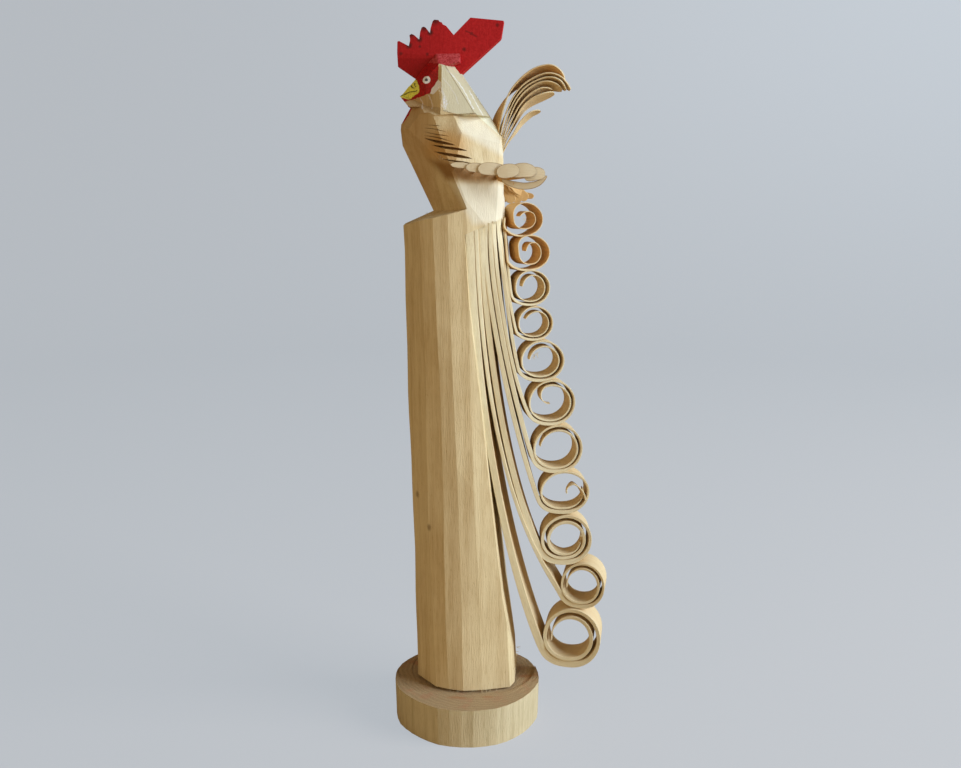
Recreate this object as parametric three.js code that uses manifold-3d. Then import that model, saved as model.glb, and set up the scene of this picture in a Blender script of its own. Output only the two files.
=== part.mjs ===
// Rooster wood carving on its disc plinth.
// Millimetres. Z is up, the bird looks along -Y and its left side faces +X.
// The origin is the centre of the plinth's underside.
import * as THREE from "three";
import { mergeVertices } from "three/addons/utils/BufferGeometryUtils.js";
import Module from "manifold-3d";

const wasm = await Module();
wasm.setup();

// Plinth: a slice of branch trimmed with a knife
const PLINTH_RADIUS = 24.3;
const PLINTH_HEIGHT = 12.7;
const PLINTH_SIDES = 17;
const PLINTH_WAVER = 0.55;
const PLINTH_FLARE = 0.5;

// Stick that post and bird are cut from: it leans forward and narrows upward
const STICK_SHIFT_X = -3.0;
const FOOT_Z = 13.0;
const LEDGE_Z = 163.0;
const STICK_TOP_Z = 228.0;
const FOOT_CENTRE_Y = 0.3;
const LEDGE_CENTRE_Y = -4.0;
const FOOT_DEPTH = 17.7;
const LEDGE_DEPTH = 16.6;
const FOOT_WIDTH = 14.9;
const LEDGE_WIDTH = 14.6;
// Knife facets round the stick: angle from the front, share of the full radius
const STICK_EDGES = [
  [17, 1.0], [50, 1.0], [68, 1.0], [86, 1.0], [105, 1.02], [138, 1.1], [168, 1.0],
  [198, 1.0], [226, 1.06], [254, 1.0], [276, 1.0], [300, 1.0], [340, 1.0],
];

// Side outline of bird and rump above the ledge, as Y and Z
const BREAST_TOP = [-20.3, 194.3];
const CHIN = [-17.4, 199.1];
const BEAK_TIP = [-20.7, 202.6];
const BEAK_ROOT = [-15.8, 207.4];
const CROWN_FRONT = [-10.0, 214.4];
const CROWN_BACK = [-2.0, 214.4];
const NAPE = [-1.6, 209.3];
const SHOULDER = [9.3, 193.2];
const PLUME_SEAT = [12.9, 186.6];

// Notch between breast and ledge
const CREVICE = [0, -10.7, 167.8];
const BREAST_UNDER_NORMAL = [0.64, -0.71, -0.34];
const LEDGE_FRONT_NORMAL = [0.13, -0.4, 0.91];
const LEDGE_SIDE_NORMAL = [0.18, -0.24, 0.95];

// Comb: a flat plate on edge
const COMB_HALF = 2.0;
const COMB_FRONT_Y = -21.3;
const COMB_FRONT_LOW_Z = 211.3;
const COMB_SPIKES = 4;
const SPIKE_TIP = [-20.7, 218.9];
const SPIKE_STEP = [3.75, 2.0];
const SPIKE_NOTCH = [-17.7, 217.3];
const NOTCH_STEP = [3.3, 1.8];
const COMB_SADDLE = [-3.8, 220.4];
const COMB_LOBE = [[1.2, 225.6], [11.4, 224.5], [10.5, 219.3]];

// Tail: shavings still held at the rump, each rolled up at its free end
const ROOT_Z = 168;
const SLIT_TOP_Z = 160.6;
const TAIL_CUT = [[0.6, 160.6], [1.8, 140], [5.3, 109], [8.2, 80], [12.3, 44], [15.6, 24], [16.5, 8]];
const TOP_ROLL = [17.9, 165.1];
const ROLL_TURNS = 1.75;
const ROLL_START = 206;
const ROLL_SIDES = 18;
const STRIP_STEPS = 9;
// Rolls from top to bottom: half height and half breadth of the rim, lean to
// the next roll down in degrees, yaw in degrees, width, root Y, root thickness
const ROLLS = [
  [5.3, 6.7, 8, 27, 8, 11.1, 0.8],
  [5.5, 7.7, 6, 25, 8, 10.8, 0.8],
  [5.8, 6.4, 6, 20, 8, 10.5, 0.8],
  [5.5, 6.2, 16, 17, 8, 10.1, 0.8],
  [6.9, 6.7, 11.5, 14, 9, 9.6, 0.9],
  [7.0, 7.5, 7, 13, 9, 9.0, 1.0],
  [7.2, 7.9, 10, 10, 9, 8.0, 1.1],
  [7.2, 8.1, 0.5, 8, 9, 6.8, 1.2],
  [8.6, 8.3, 18.5, 4, 9, 5.1, 1.5],
  [7.9, 7.6, -10.5, -8, 10, 3.3, 1.6],
  [10.1, 9.5, 0, -7, 11, 1.0, 2.1],
];

// Wings: fans of thin slices bent out of the flanks
const WING_FEATHERS = 8;
const WING_THICKNESS = 0.8;
const WING_ROOT = [10.6, -10.5, 190.4];
const WING_ROOT_STEP = [0, 1.45, -1.25];
const WING_TIP = [16.5, 2.6, 180.4];
const WING_TIP_STEP = [-0.35, 3.1, -0.35];
const FAR_WING_DROP = 6.5;

// Plume: thin slices lifted from the back and arched over
const PLUME_TIPS = [
  [30.9, 208.2], [32.3, 205.7], [31.6, 204.8], [30.4, 204.4],
  [28.8, 204.3], [26.6, 203.7], [22.5, 198.7],
];
const PLUME_THICKNESS = 0.7;
const PLUME_WIDTH = 10;

const rad = THREE.MathUtils.degToRad;
const mix = THREE.MathUtils.lerp;
const vec = (x, y, z) => new THREE.Vector3(x, y, z);

function toSolid(geometry) {
  const bare = new THREE.BufferGeometry();
  bare.setAttribute("position", geometry.getAttribute("position"));
  if (geometry.index) {
    bare.setIndex(geometry.index);
  }
  const merged = mergeVertices(bare, 1e-5);
  return new wasm.Manifold(new wasm.Mesh({
    numProp: 3,
    vertProperties: new Float32Array(merged.getAttribute("position").array),
    triVerts: new Uint32Array(merged.index.array),
  }));
}

function toMesh(name, solid, color) {
  const data = solid.getMesh();
  const geometry = new THREE.BufferGeometry();
  geometry.setAttribute("position", new THREE.BufferAttribute(new Float32Array(data.vertProperties), 3));
  geometry.setIndex(new THREE.BufferAttribute(new Uint32Array(data.triVerts), 1));
  const material = new THREE.MeshStandardMaterial({
    color,
    roughness: 0.62,
    metalness: 0,
    flatShading: true,
  });
  const mesh = new THREE.Mesh(geometry, material);
  mesh.name = name;
  return mesh;
}

function middleOf(ring) {
  return ring.reduce((sum, point) => sum.add(point), vec(0, 0, 0)).divideScalar(ring.length);
}

// A closed body through rings of points, all with the same count
function loft(rings) {
  const count = rings[0].length;
  const position = [];
  const index = [];
  for (const ring of rings) {
    for (const point of ring) {
      position.push(point.x, point.y, point.z);
    }
  }
  for (let r = 0; r + 1 < rings.length; r += 1) {
    for (let i = 0; i < count; i += 1) {
      const a = r * count + i;
      const b = r * count + (i + 1) % count;
      index.push(a, b, b + count, a, b + count, a + count);
    }
  }
  const last = (rings.length - 1) * count;
  for (let i = 1; i + 1 < count; i += 1) {
    index.push(0, i + 1, i, last, last + i, last + i + 1);
  }
  // Turn the faces outward where the rings run the other way round
  const middle = middleOf(rings[0]);
  const spoke = rings[0][0].clone().sub(middle);
  const nextSpoke = rings[0][1].clone().sub(middle);
  const ahead = middleOf(rings[1]).sub(middle);
  if (spoke.cross(nextSpoke).dot(ahead) < 0) {
    index.reverse();
  }
  const geometry = new THREE.BufferGeometry();
  geometry.setAttribute("position", new THREE.Float32BufferAttribute(position, 3));
  geometry.setIndex(index);
  return toSolid(geometry);
}

// Everything on the side of a plane that its normal points to
function beyond(point, normal) {
  const size = 500;
  const box = new THREE.BoxGeometry(size, size, size);
  const turn = new THREE.Quaternion();
  const towards = vec(...normal).normalize();
  turn.setFromUnitVectors(vec(0, 0, 1), towards);
  box.applyQuaternion(turn);
  const centre = vec(...point).addScaledVector(towards, size / 2);
  box.translate(centre.x, centre.y, centre.z);
  return toSolid(box);
}

// One knife cut on each side of the bird, kept inside the given limits
function shave(solid, point, normal, ...limits) {
  let carved = solid;
  for (const side of [1, -1]) {
    const swap = ([x, y, z]) => [side * x, y, z];
    let chip = beyond(swap(point), swap(normal));
    for (const [at, towards] of limits) {
      chip = chip.intersect(beyond(swap(at), swap(towards)));
    }
    carved = carved.subtract(chip);
  }
  return carved;
}

// Plate with the given Y and Z outline, from -half to +half in X
function plate(outline, half) {
  const shape = new THREE.Shape(outline.map(([y, z]) => new THREE.Vector2(y, z)));
  const geometry = new THREE.ExtrudeGeometry(shape, { depth: 2 * half, bevelEnabled: false });
  geometry.translate(0, 0, -half);
  geometry.applyMatrix4(new THREE.Matrix4().makeBasis(vec(0, 1, 0), vec(0, 0, 1), vec(1, 0, 0)));
  return toSolid(geometry);
}

// Thin ribbon: each station has its point, width direction, thickness direction,
// width, thickness and the bevel of its inner edges
function ribbon(stations) {
  const rings = stations.map(({ at, across, inward, width, thick, bevel }) => {
    const inner = at.clone().addScaledVector(inward, thick);
    const half = width / 2;
    return [
      at.clone().addScaledVector(across, half),
      inner.clone().addScaledVector(across, half - bevel),
      inner.clone().addScaledVector(across, bevel - half),
      at.clone().addScaledVector(across, -half),
    ];
  });
  return loft(rings);
}

function makePlinth() {
  const ring = (radius, z) => {
    const points = [];
    for (let i = 0; i < PLINTH_SIDES; i += 1) {
      const angle = (2 * Math.PI * (i + 0.22 * Math.sin(2.1 * i))) / PLINTH_SIDES;
      const reach = radius + PLINTH_WAVER * Math.sin(2.7 * i + 1);
      points.push(vec(reach * Math.cos(angle), reach * Math.sin(angle), z));
    }
    return points;
  };
  return loft([ring(PLINTH_RADIUS, 0), ring(PLINTH_RADIUS + PLINTH_FLARE, PLINTH_HEIGHT)]);
}

function stickShare(z) {
  return (z - FOOT_Z) / (LEDGE_Z - FOOT_Z);
}

function stickRing(z) {
  const share = stickShare(z);
  const depth = mix(FOOT_DEPTH, LEDGE_DEPTH, share);
  const width = mix(FOOT_WIDTH, LEDGE_WIDTH, share);
  const centre = mix(FOOT_CENTRE_Y, LEDGE_CENTRE_Y, share);
  return STICK_EDGES.map(([angle, part]) => {
    const turn = rad(angle);
    return vec(width * part * Math.sin(turn), centre - depth * part * Math.cos(turn), z);
  });
}

// Half the width of the stick at a given Y, near the rump
function halfChord(y) {
  const off = (y - LEDGE_CENTRE_Y) / LEDGE_DEPTH;
  return LEDGE_WIDTH * Math.sqrt(Math.max(0.05, 1 - off * off));
}

function makeBody() {
  const outline = [
    [-40, 0], [-40, BREAST_TOP[1] - 0.4], BREAST_TOP, CHIN, BEAK_TIP, BEAK_ROOT, CROWN_FRONT,
    CROWN_BACK, NAPE, SHOULDER, PLUME_SEAT, [40, PLUME_SEAT[1]], [40, 0],
  ];
  let body = loft([stickRing(FOOT_Z), stickRing(STICK_TOP_Z)]).intersect(plate(outline, 40));
  const tail = [[60, SLIT_TOP_Z + 5], [12.2, SLIT_TOP_Z + 5], ...TAIL_CUT, [60, 8]];
  body = body.subtract(plate(tail, 40));

  // Breast undercut and ledge
  const oneSide = [[0, 0, 0], [1, 0, 0]];
  const underBreast = [CREVICE, BREAST_UNDER_NORMAL];
  body = shave(body, CREVICE, LEDGE_FRONT_NORMAL, underBreast, oneSide);
  body = shave(body, CREVICE, LEDGE_SIDE_NORMAL, underBreast, oneSide);

  // Flanks and neck
  body = shave(body, [10.2, 0, 196], [0.965, 0, 0.26], [[0, 0, 168.2], [0, 0, 1]]);
  body = shave(body, [9, 3, 196], [0.66, 0.66, 0.36]);
  body = shave(body, [1.0, -1.8, 209.3], [0.52, 0.705, 0.48]);
  const throat = [[[0, 0, 190], [0, 0, 1]], [[0, 0, 199], [0, 0, -1]]];
  body = shave(body, [2.4, -17.8, 197], [0.61, -0.7, 0.38], ...throat);

  // Cheeks, beak and crown
  const cheek = [[0, -6.2, 0], [0, -1, 0]];
  const aboveJaw = [[0, 0, 197.2], [0, 0, 1]];
  body = shave(body, [6.6, -7, 203], [0.98, -0.16, 0.05], cheek, aboveJaw);
  body = shave(body, [4.1, -14.5, 203], [0.83, -0.55, 0], cheek, aboveJaw);
  body = shave(body, [6.2, -5, 210.7], [0.67, 0, 0.74]);
  body = shave(body, [1.6, -15.8, 207.6], [0.63, -0.59, 0.5], [[0, 0, 205.5], [0, 0, 1]]);
  return body;
}

function makeComb() {
  const outline = [[BEAK_ROOT[0] - 0.2, BEAK_ROOT[1] + 0.5], [COMB_FRONT_Y, COMB_FRONT_LOW_Z]];
  for (let i = 0; i < COMB_SPIKES; i += 1) {
    const tip = [SPIKE_TIP[0] + i * SPIKE_STEP[0], SPIKE_TIP[1] + i * SPIKE_STEP[1]];
    const start = i === 0 ? [COMB_FRONT_Y, tip[1]] : [tip[0], tip[1] - 0.2];
    outline.push(start, [tip[0] + 0.9, tip[1] - 0.1]);
    if (i + 1 < COMB_SPIKES) {
      outline.push([SPIKE_NOTCH[0] + i * NOTCH_STEP[0], SPIKE_NOTCH[1] + i * NOTCH_STEP[1]]);
    }
  }
  outline.push(COMB_SADDLE, ...COMB_LOBE, NAPE, [-6, 206]);
  let comb = plate(outline, COMB_HALF);
  comb = shave(comb, [COMB_HALF, 0, 214], [1, 0, 0.09], [[0, 0, 214], [0, 0, 1]]);
  comb = shave(comb, [COMB_HALF, 0, 213.5], [1, -0.02, -0.16], [[0, -9, 0], [0, -1, 0]]);
  return comb;
}

// Centres of the rolls: each one hangs against the one above
function rollCentres() {
  const centres = [TOP_ROLL];
  for (let i = 0; i + 1 < ROLLS.length; i += 1) {
    const reach = (ROLLS[i][0] + ROLLS[i + 1][0]) * 1.012;
    const lean = rad(ROLLS[i][2]);
    centres.push([centres[i][0] + reach * Math.sin(lean), centres[i][1] - reach * Math.cos(lean)]);
  }
  return centres;
}

function makeStrip(roll, rim) {
  const [high, broad, , yawDegrees, width, rootY, rootThick] = roll;
  const yaw = rad(yawDegrees);
  const across = vec(Math.cos(yaw), Math.sin(yaw), 0);
  const outward = vec(-Math.sin(yaw), Math.cos(yaw), 0);
  const centre = vec(0, rim[0] - (width / 2) * Math.sin(yaw), rim[1]);
  const rollThick = 0.45 * rootThick + 0.45;
  const onRoll = (share) => {
    const turn = rad(ROLL_START + 360 * ROLL_TURNS * share);
    const shrink = (rollThick + 0.8) * (ROLL_TURNS * share - 0.3);
    const at = centre.clone().addScaledVector(outward, (broad - shrink) * Math.cos(turn));
    at.z += (high - shrink) * Math.sin(turn);
    const inward = outward.clone().multiplyScalar(-Math.cos(turn));
    inward.z -= Math.sin(turn);
    const along = outward.clone().multiplyScalar(-Math.sin(turn));
    along.z += Math.cos(turn);
    return { at, inward, along };
  };

  const root = vec(0, rootY, ROOT_Z);
  const start = onRoll(0);
  const reach = root.distanceTo(start.at);
  const path = new THREE.CubicBezierCurve3(
    root,
    root.clone().add(vec(0, -0.003 * reach, -0.34 * reach)),
    start.at.clone().addScaledVector(start.along, -0.25 * reach),
    start.at,
  );
  const rootWidth = 2 * halfChord(rootY) - 0.5;
  const stations = [];
  for (let i = 0; i < STRIP_STEPS; i += 1) {
    const share = i / STRIP_STEPS;
    const turn = yaw * share * share;
    const side = vec(Math.cos(turn), Math.sin(turn), 0);
    const along = path.getTangent(share);
    const inward = side.clone().cross(along).normalize();
    const thick = mix(rootThick, rollThick * 1.15, share);
    stations.push({
      at: path.getPoint(share),
      across: side,
      inward,
      width: mix(rootWidth, width * 1.1, Math.sqrt(share)),
      thick,
      bevel: thick * 0.6,
    });
  }
  const steps = Math.round(ROLL_SIDES * ROLL_TURNS);
  for (let i = 0; i <= steps; i += 1) {
    const share = i / steps;
    const { at, inward } = onRoll(share);
    const thick = mix(rollThick, 0.6, Math.min(1, share * 1.6));
    stations.push({
      at,
      across,
      inward,
      width: mix(width, 2.4, Math.pow(share, 2.2)),
      thick,
      bevel: thick * 0.6,
    });
  }
  return ribbon(stations);
}

function makeWing(side) {
  let wing = null;
  for (let i = 0; i < WING_FEATHERS; i += 1) {
    const root = vec(...WING_ROOT).addScaledVector(vec(...WING_ROOT_STEP), i);
    const tip = vec(...WING_TIP).addScaledVector(vec(...WING_TIP_STEP), i);
    if (side < 0) {
      tip.z -= FAR_WING_DROP;
      tip.y -= FAR_WING_DROP * 0.7;
    }
    const bend = vec(root.x + 1.6, mix(root.y, tip.y, 0.42), mix(root.z, tip.z, 0.86));
    const path = new THREE.QuadraticBezierCurve3(root, bend, tip);
    const stations = [];
    const steps = 6;
    for (let s = 0; s <= steps; s += 1) {
      const share = s / steps;
      const along = path.getTangent(share);
      const up = vec(-0.42, 0, 0.9).addScaledVector(along, -vec(-0.42, 0, 0.9).dot(along)).normalize();
      stations.push({
        at: path.getPoint(share),
        across: up,
        inward: along.clone().cross(up).normalize(),
        width: share > 0.99 ? 3.0 : mix(3.2, 5.6, Math.sqrt(share)),
        thick: WING_THICKNESS,
        bevel: 0,
      });
    }
    const feather = ribbon(stations);
    wing = wing ? wing.add(feather) : feather;
  }
  return side > 0 ? wing : wing.mirror([1, 0, 0]);
}

function makePlume() {
  let plume = null;
  PLUME_TIPS.forEach(([tipY, tipZ], i) => {
    const share = i / (PLUME_TIPS.length - 1);
    const root = vec(0, mix(9.0, 11.6, share), mix(189, 184.5, share));
    const tip = vec(0, tipY, tipZ);
    const path = new THREE.CubicBezierCurve3(
      root,
      root.clone().add(vec(0, mix(1.1, 1.8, share), mix(14, 8.5, share))),
      tip.clone().add(vec(0, mix(-10.9, -4.5, share), mix(8.8, -0.7, share))),
      tip,
    );
    const stations = [];
    const steps = 9;
    for (let s = 0; s <= steps; s += 1) {
      const part = s / steps;
      const along = path.getTangent(part);
      const swell = Math.sin(Math.PI * (0.3 + 0.66 * part));
      stations.push({
        at: path.getPoint(part),
        across: vec(1, 0, 0),
        inward: along.clone().cross(vec(1, 0, 0)).normalize(),
        width: PLUME_WIDTH * mix(1, 0.75, share) * swell,
        thick: PLUME_THICKNESS,
        bevel: 0.1,
      });
    }
    const feather = ribbon(stations);
    plume = plume ? plume.add(feather) : feather;
  });
  return plume;
}

function makeCarving() {
  let carving = makeBody().add(makeComb());
  const centres = rollCentres();
  ROLLS.forEach((roll, i) => {
    carving = carving.add(makeStrip(roll, centres[i]));
  });
  carving = carving.add(makeWing(1)).add(makeWing(-1)).add(makePlume());
  // Slivers of air shut in between the shavings are filled
  const [solid] = carving.decompose().sort((a, b) => b.volume() - a.volume());
  return solid.translate([STICK_SHIFT_X, 0, 0]);
}

const whole = new THREE.Group();
whole.name = "rooster_wood_carving";
whole.add(toMesh("plinth", makePlinth(), 0xc6a878));
whole.add(toMesh("rooster_carving", makeCarving(), 0xd8c08e));

export default whole;
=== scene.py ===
# %% [markdown]
# # A shaved-wood rooster on its disc
# The real piece is cut from one standing stick with a knife: post, bird, comb, thin wing and
# plume slices, and a tail of long shavings that curl up at their free ends. A slice of branch
# carries it. This lesson dresses the two measured solids with detailed meshes in the same
# place: knife facets, slits, rolled shavings with bevelled edges, loose fibres and paint.

# %% Start from the measured solids
import math
import random
from contextlib import contextmanager
from functools import partial, partialmethod, reduce
from itertools import accumulate
import bmesh
import bpy
from mathutils import Matrix, Vector


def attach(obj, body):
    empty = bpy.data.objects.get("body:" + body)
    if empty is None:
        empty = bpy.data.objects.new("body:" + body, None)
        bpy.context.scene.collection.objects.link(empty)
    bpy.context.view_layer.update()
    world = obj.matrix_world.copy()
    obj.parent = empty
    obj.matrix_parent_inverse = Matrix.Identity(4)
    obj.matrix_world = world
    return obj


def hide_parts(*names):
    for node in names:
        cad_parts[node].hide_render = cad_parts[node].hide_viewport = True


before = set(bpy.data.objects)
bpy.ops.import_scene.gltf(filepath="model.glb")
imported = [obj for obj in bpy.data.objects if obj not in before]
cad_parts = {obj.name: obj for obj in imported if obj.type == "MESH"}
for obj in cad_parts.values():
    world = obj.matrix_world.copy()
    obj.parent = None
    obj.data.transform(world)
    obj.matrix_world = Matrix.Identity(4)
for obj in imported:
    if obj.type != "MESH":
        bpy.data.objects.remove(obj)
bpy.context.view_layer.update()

# %% [markdown]
# ## Camera
# The picture was taken close to the carving, a little behind its left side and looking ten
# degrees down. A lens of 36.9 mm on a 36 mm sensor gives the same perspective, so far edges
# of the rolls shift against near ones as they do for real.

# %% Camera
MM = 0.001
CAMERA_PLACE = Vector((310.3, 31.6, 167.9)) * MM
CAMERA_TURN = math.radians(5.0)
CAMERA_PITCH = math.radians(10.0)


def link_object(name, data):
    made = bpy.data.objects.new(name, data)
    bpy.context.collection.objects.link(made)
    return made


camera_data = bpy.data.cameras.new("camera")
camera_data.lens = 36.9
camera_data.sensor_width = 36.0
camera_data.clip_start = 0.01
camera = link_object("camera", camera_data)
camera.location = CAMERA_PLACE
sight = Vector((
    -math.cos(CAMERA_TURN) * math.cos(CAMERA_PITCH),
    -math.sin(CAMERA_TURN) * math.cos(CAMERA_PITCH),
    -math.sin(CAMERA_PITCH),
))
camera.rotation_euler = sight.to_track_quat("-Z", "Y").to_euler()
bpy.context.scene.camera = camera
bpy.context.scene.view_settings.view_transform = "Standard"
print("camera looks along", tuple(round(v, 3) for v in sight))

# %% [markdown]
# ## Small helpers for wiring nodes
# Shader and geometry trees use the same maths nodes. A short class adds a node, fills its
# sockets with numbers or links, and hands back the result, so that a tree reads like a formula.

# %% Wiring helper
FLOAT, VECTOR, COLOR = "NodeSocketFloat", "NodeSocketVector", "NodeSocketColor"
GEOMETRY, MATERIAL = "NodeSocketGeometry", "NodeSocketMaterial"


class Wiring:
    """Adds nodes to a tree and joins them."""

    def __init__(self, tree):
        self.tree = tree

    def fill(self, node, values):
        for key, value in values.items():
            if isinstance(value, bpy.types.NodeSocket):
                self.tree.links.new(value, node.inputs[key])
            else:
                node.inputs[key].default_value = value

    def node(self, kind, inputs=None, **settings):
        made = self.tree.nodes.new(kind)
        for key, value in settings.items():
            setattr(made, key, value)
        self.fill(made, inputs or {})
        return made

    def math(self, operation, *values, **settings):
        made = self.node("ShaderNodeMath", dict(enumerate(values)), operation=operation, **settings)
        return made.outputs[0]

    times = partialmethod(math, "MULTIPLY")
    plus = partialmethod(math, "ADD")
    minus = partialmethod(math, "SUBTRACT")
    smaller = partialmethod(math, "MINIMUM")
    larger = partialmethod(math, "MAXIMUM")

    def vector(self, operation, *values):
        made = self.node("ShaderNodeVectorMath", dict(enumerate(values)), operation=operation)
        return made.outputs["Value" if operation in ("DOT_PRODUCT", "LENGTH") else "Vector"]

    def scaled(self, vector, factor):
        made = self.node("ShaderNodeVectorMath", {0: vector, "Scale": factor}, operation="SCALE")
        return made.outputs["Vector"]

    def distance(self, place, centre, stretch):
        off = self.vector("SUBTRACT", place, centre)
        return self.vector("LENGTH", self.vector("MULTIPLY", off, stretch))

    def split(self, vector):
        return self.node("ShaderNodeSeparateXYZ", {0: vector}).outputs

    def joined(self, *parts):
        return self.node("ShaderNodeCombineXYZ", dict(enumerate(parts))).outputs[0]

    def ranged(self, value, low, high, to_low=0.0, to_high=1.0):
        """Turns low..high softly into to_low..to_high."""
        return self.node("ShaderNodeMapRange", {
            "Value": value, "From Min": low, "From Max": high, "To Min": to_low, "To Max": to_high,
        }, interpolation_type="SMOOTHSTEP").outputs["Result"]

    def mixed(self, mask, first, second):
        return self.node("ShaderNodeMix", {0: mask, 6: first, 7: second}, data_type="RGBA").outputs[2]

    def layered(self, colour, layers):
        """Lays each (mask, colour) over what is there."""
        for mask, top in layers:
            colour = self.mixed(mask, colour, top)
        return colour

    def noise(self, vector, scale, detail=3.0, roughness=0.55):
        return self.node("ShaderNodeTexNoise", {
            "Vector": vector, "Scale": scale, "Detail": detail, "Roughness": roughness,
        }).outputs["Fac"]


def new_group(name, kind, sockets_in, sockets_out):
    """A node group, with its wiring, the values it is given and its output node."""
    tree = bpy.data.node_groups.new(name, kind)
    for label, socket, *default in sockets_in:
        made = tree.interface.new_socket(label, in_out="INPUT", socket_type=socket)
        if default:
            made.default_value = default[0]
    for label, socket in sockets_out:
        tree.interface.new_socket(label, in_out="OUTPUT", socket_type=socket)
    given = tree.nodes.new("NodeGroupInput").outputs
    return tree, Wiring(tree), given, tree.nodes.new("NodeGroupOutput")


print("wiring helper ready")

# %% [markdown]
# ## Bare wood
# The stick is a pale, even-grained wood. Its colour runs in long soft streaks, over them lie
# fine fibres and short dark pores, all drawn out along the stick. Noise that is squeezed
# along one axis gives all three, so one group serves post, shavings and plinth rim.

# %% Wood group
def build_wood_group():
    tree, w, given, leave = new_group("knife_cut_wood", "ShaderNodeTree", [
        ("Vector", VECTOR),
        ("Light", COLOR, (0.8, 0.66, 0.42, 1.0)), ("Dark", COLOR, (0.55, 0.38, 0.18, 1.0)),
        ("Streaks", FLOAT, 0.5), ("Fibres", FLOAT, 0.5), ("Pores", FLOAT, 0.3),
    ], [("Color", COLOR), ("Roughness", FLOAT), ("Height", FLOAT)])
    along, fine, dashes = [
        w.vector("MULTIPLY", given["Vector"], (1.0, 1.0, squeeze)) for squeeze in (0.045, 0.07, 0.22)
    ]
    streak = w.ranged(w.noise(along, 420.0, detail=4.0, roughness=0.6), 0.34, 0.72)
    fibre = w.noise(fine, 3200.0, roughness=0.65)
    fibre_part = w.ranged(fibre, 0.36, 0.7)
    pores = w.times(w.ranged(w.noise(dashes, 2600.0, detail=1.0), 0.66, 0.76), given["Pores"])
    cloud = w.noise(given["Vector"], 90.0, detail=2.0)
    mix = w.times(streak, given["Streaks"])
    mix = w.math("MULTIPLY_ADD", w.minus(fibre_part, 0.4), given["Fibres"], mix)
    mix = w.math("MULTIPLY_ADD", w.minus(cloud, 0.5), 0.5, mix)
    mix = w.plus(mix, pores, use_clamp=True)
    height = w.minus(w.times(fibre_part, 0.7), w.times(pores, 1.2))
    w.fill(leave, {
        "Color": w.mixed(mix, given["Light"], given["Dark"]),
        "Roughness": w.ranged(fibre, 0.3, 0.7, 0.5, 0.68),
        "Height": w.math("MULTIPLY_ADD", streak, 0.3, height),
    })
    return tree


wood_group = build_wood_group()
print("wood group:", len(wood_group.nodes), "nodes")

# %% [markdown]
# ## Paint
# The face is painted with a small brush, seen from the side, alike on both sides of the
# head. Each patch is a many-sided outline in the plane of height and length. The signed
# distance to an outline is the smallest distance to its edges, so a patch needs three nodes
# an edge and stays sharp at any size. A brush line is the distance to a short segment.

# %% Paint tools
def patch(w, position, outline, soft=0.12):
    """How far a point lies inside a convex outline of (Y, Z) in mm, from 0 to 1."""
    edges = list(zip(outline, outline[1:] + outline[:1]))
    side = 1.0 if sum(a[0] * b[1] - b[0] * a[1] for a, b in edges) > 0 else -1.0
    depths = []
    for a, b in edges:
        run = Vector((b[0] - a[0], b[1] - a[1])).normalized() * side
        reach = -run.y * a[0] + run.x * a[1]
        depths.append(w.minus(w.vector("DOT_PRODUCT", position, (0.0, -run.y, run.x)), reach))
    return w.ranged(reduce(w.smaller, depths), -soft, soft)


def build_stroke_group():
    tree, w, given, leave = new_group("brush_line", "ShaderNodeTree", [
        ("Position", VECTOR), ("Start", VECTOR), ("End", VECTOR), ("Width", FLOAT, 0.3),
    ], [("Mask", FLOAT)])
    flat = w.vector("MULTIPLY", given["Position"], (0.0, 1.0, 1.0))
    run = w.vector("SUBTRACT", given["End"], given["Start"])
    off = w.vector("SUBTRACT", flat, given["Start"])
    ahead, length = w.vector("DOT_PRODUCT", off, run), w.vector("DOT_PRODUCT", run, run)
    share = w.math("DIVIDE", ahead, length, use_clamp=True)
    gap = w.vector("LENGTH", w.vector("SUBTRACT", off, w.scaled(run, share)))
    half = w.times(given["Width"], 0.5)
    faded = w.node("ShaderNodeMapRange", {
        "Value": gap, "From Min": w.times(half, 1.8), "From Max": w.times(half, 0.6),
    })
    w.fill(leave, {"Mask": faded.outputs["Result"]})
    return tree


stroke_group = build_stroke_group()


def strokes(w, position, lines, width):
    """Brush lines between pairs of (Y, Z) points, as one mask."""
    return reduce(w.larger, [w.node("ShaderNodeGroup", {
        "Position": position, "Start": (0.0, *start), "End": (0.0, *end), "Width": width,
    }, node_tree=stroke_group).outputs["Mask"] for start, end in lines])


print("paint tools ready")

# %% [markdown]
# ## Where the paint goes
# The comb, the crown and the face are red, with a white ring and a dark pupil for the eye.
# The beak is yellow-green with a dark mouth line and nostrils, the lobe behind the face is
# white, and thin white lines mark the long neck feathers. A red wattle hangs at the throat.

# %% Paint layout in millimetres
# the carving is drawn round X = 0 and moved to its place on the plinth at the end
STICK_SHIFT = Vector((-3.0, 0.0, 0.0))
EYE = (-11.8, 206.9)
FACE_OUTLINE = [(-24, 212.5), (-8.0, 212.5), (-8.05, 206.9), (-10.8, 202.8), (-14.7, 201.8), (-24, 199.4)]
CROWN_OUTLINE = [(-16, 220), (-0.5, 220), (-1.6, 209.9), (-4.0, 210.5), (-8.3, 210.5), (-16, 209.5)]
COMB_FOOT_OUTLINE = [(-3.5, 220), (4.0, 220), (4.0, 205.0), (-0.9, 208.4), (-2.6, 210.9)]
BEAK_OUTLINE = [(-22, 202.4), (-17.6, 201.5), (-14.2, 203.5), (-14.3, 205.4), (-15.9, 208.2), (-22, 208.0)]
LOBE_OUTLINE = [(-10.3, 204.0), (-8.1, 206.7), (-7.1, 206.0), (-7.3, 204.6), (-9.6, 202.6), (-10.7, 202.8)]
WATTLE_OUTLINE = [(-22, 199.6), (-17.3, 199.3), (-17.0, 198.6), (-17.9, 196.6), (-19.4, 194.9), (-22, 193.4)]
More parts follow.
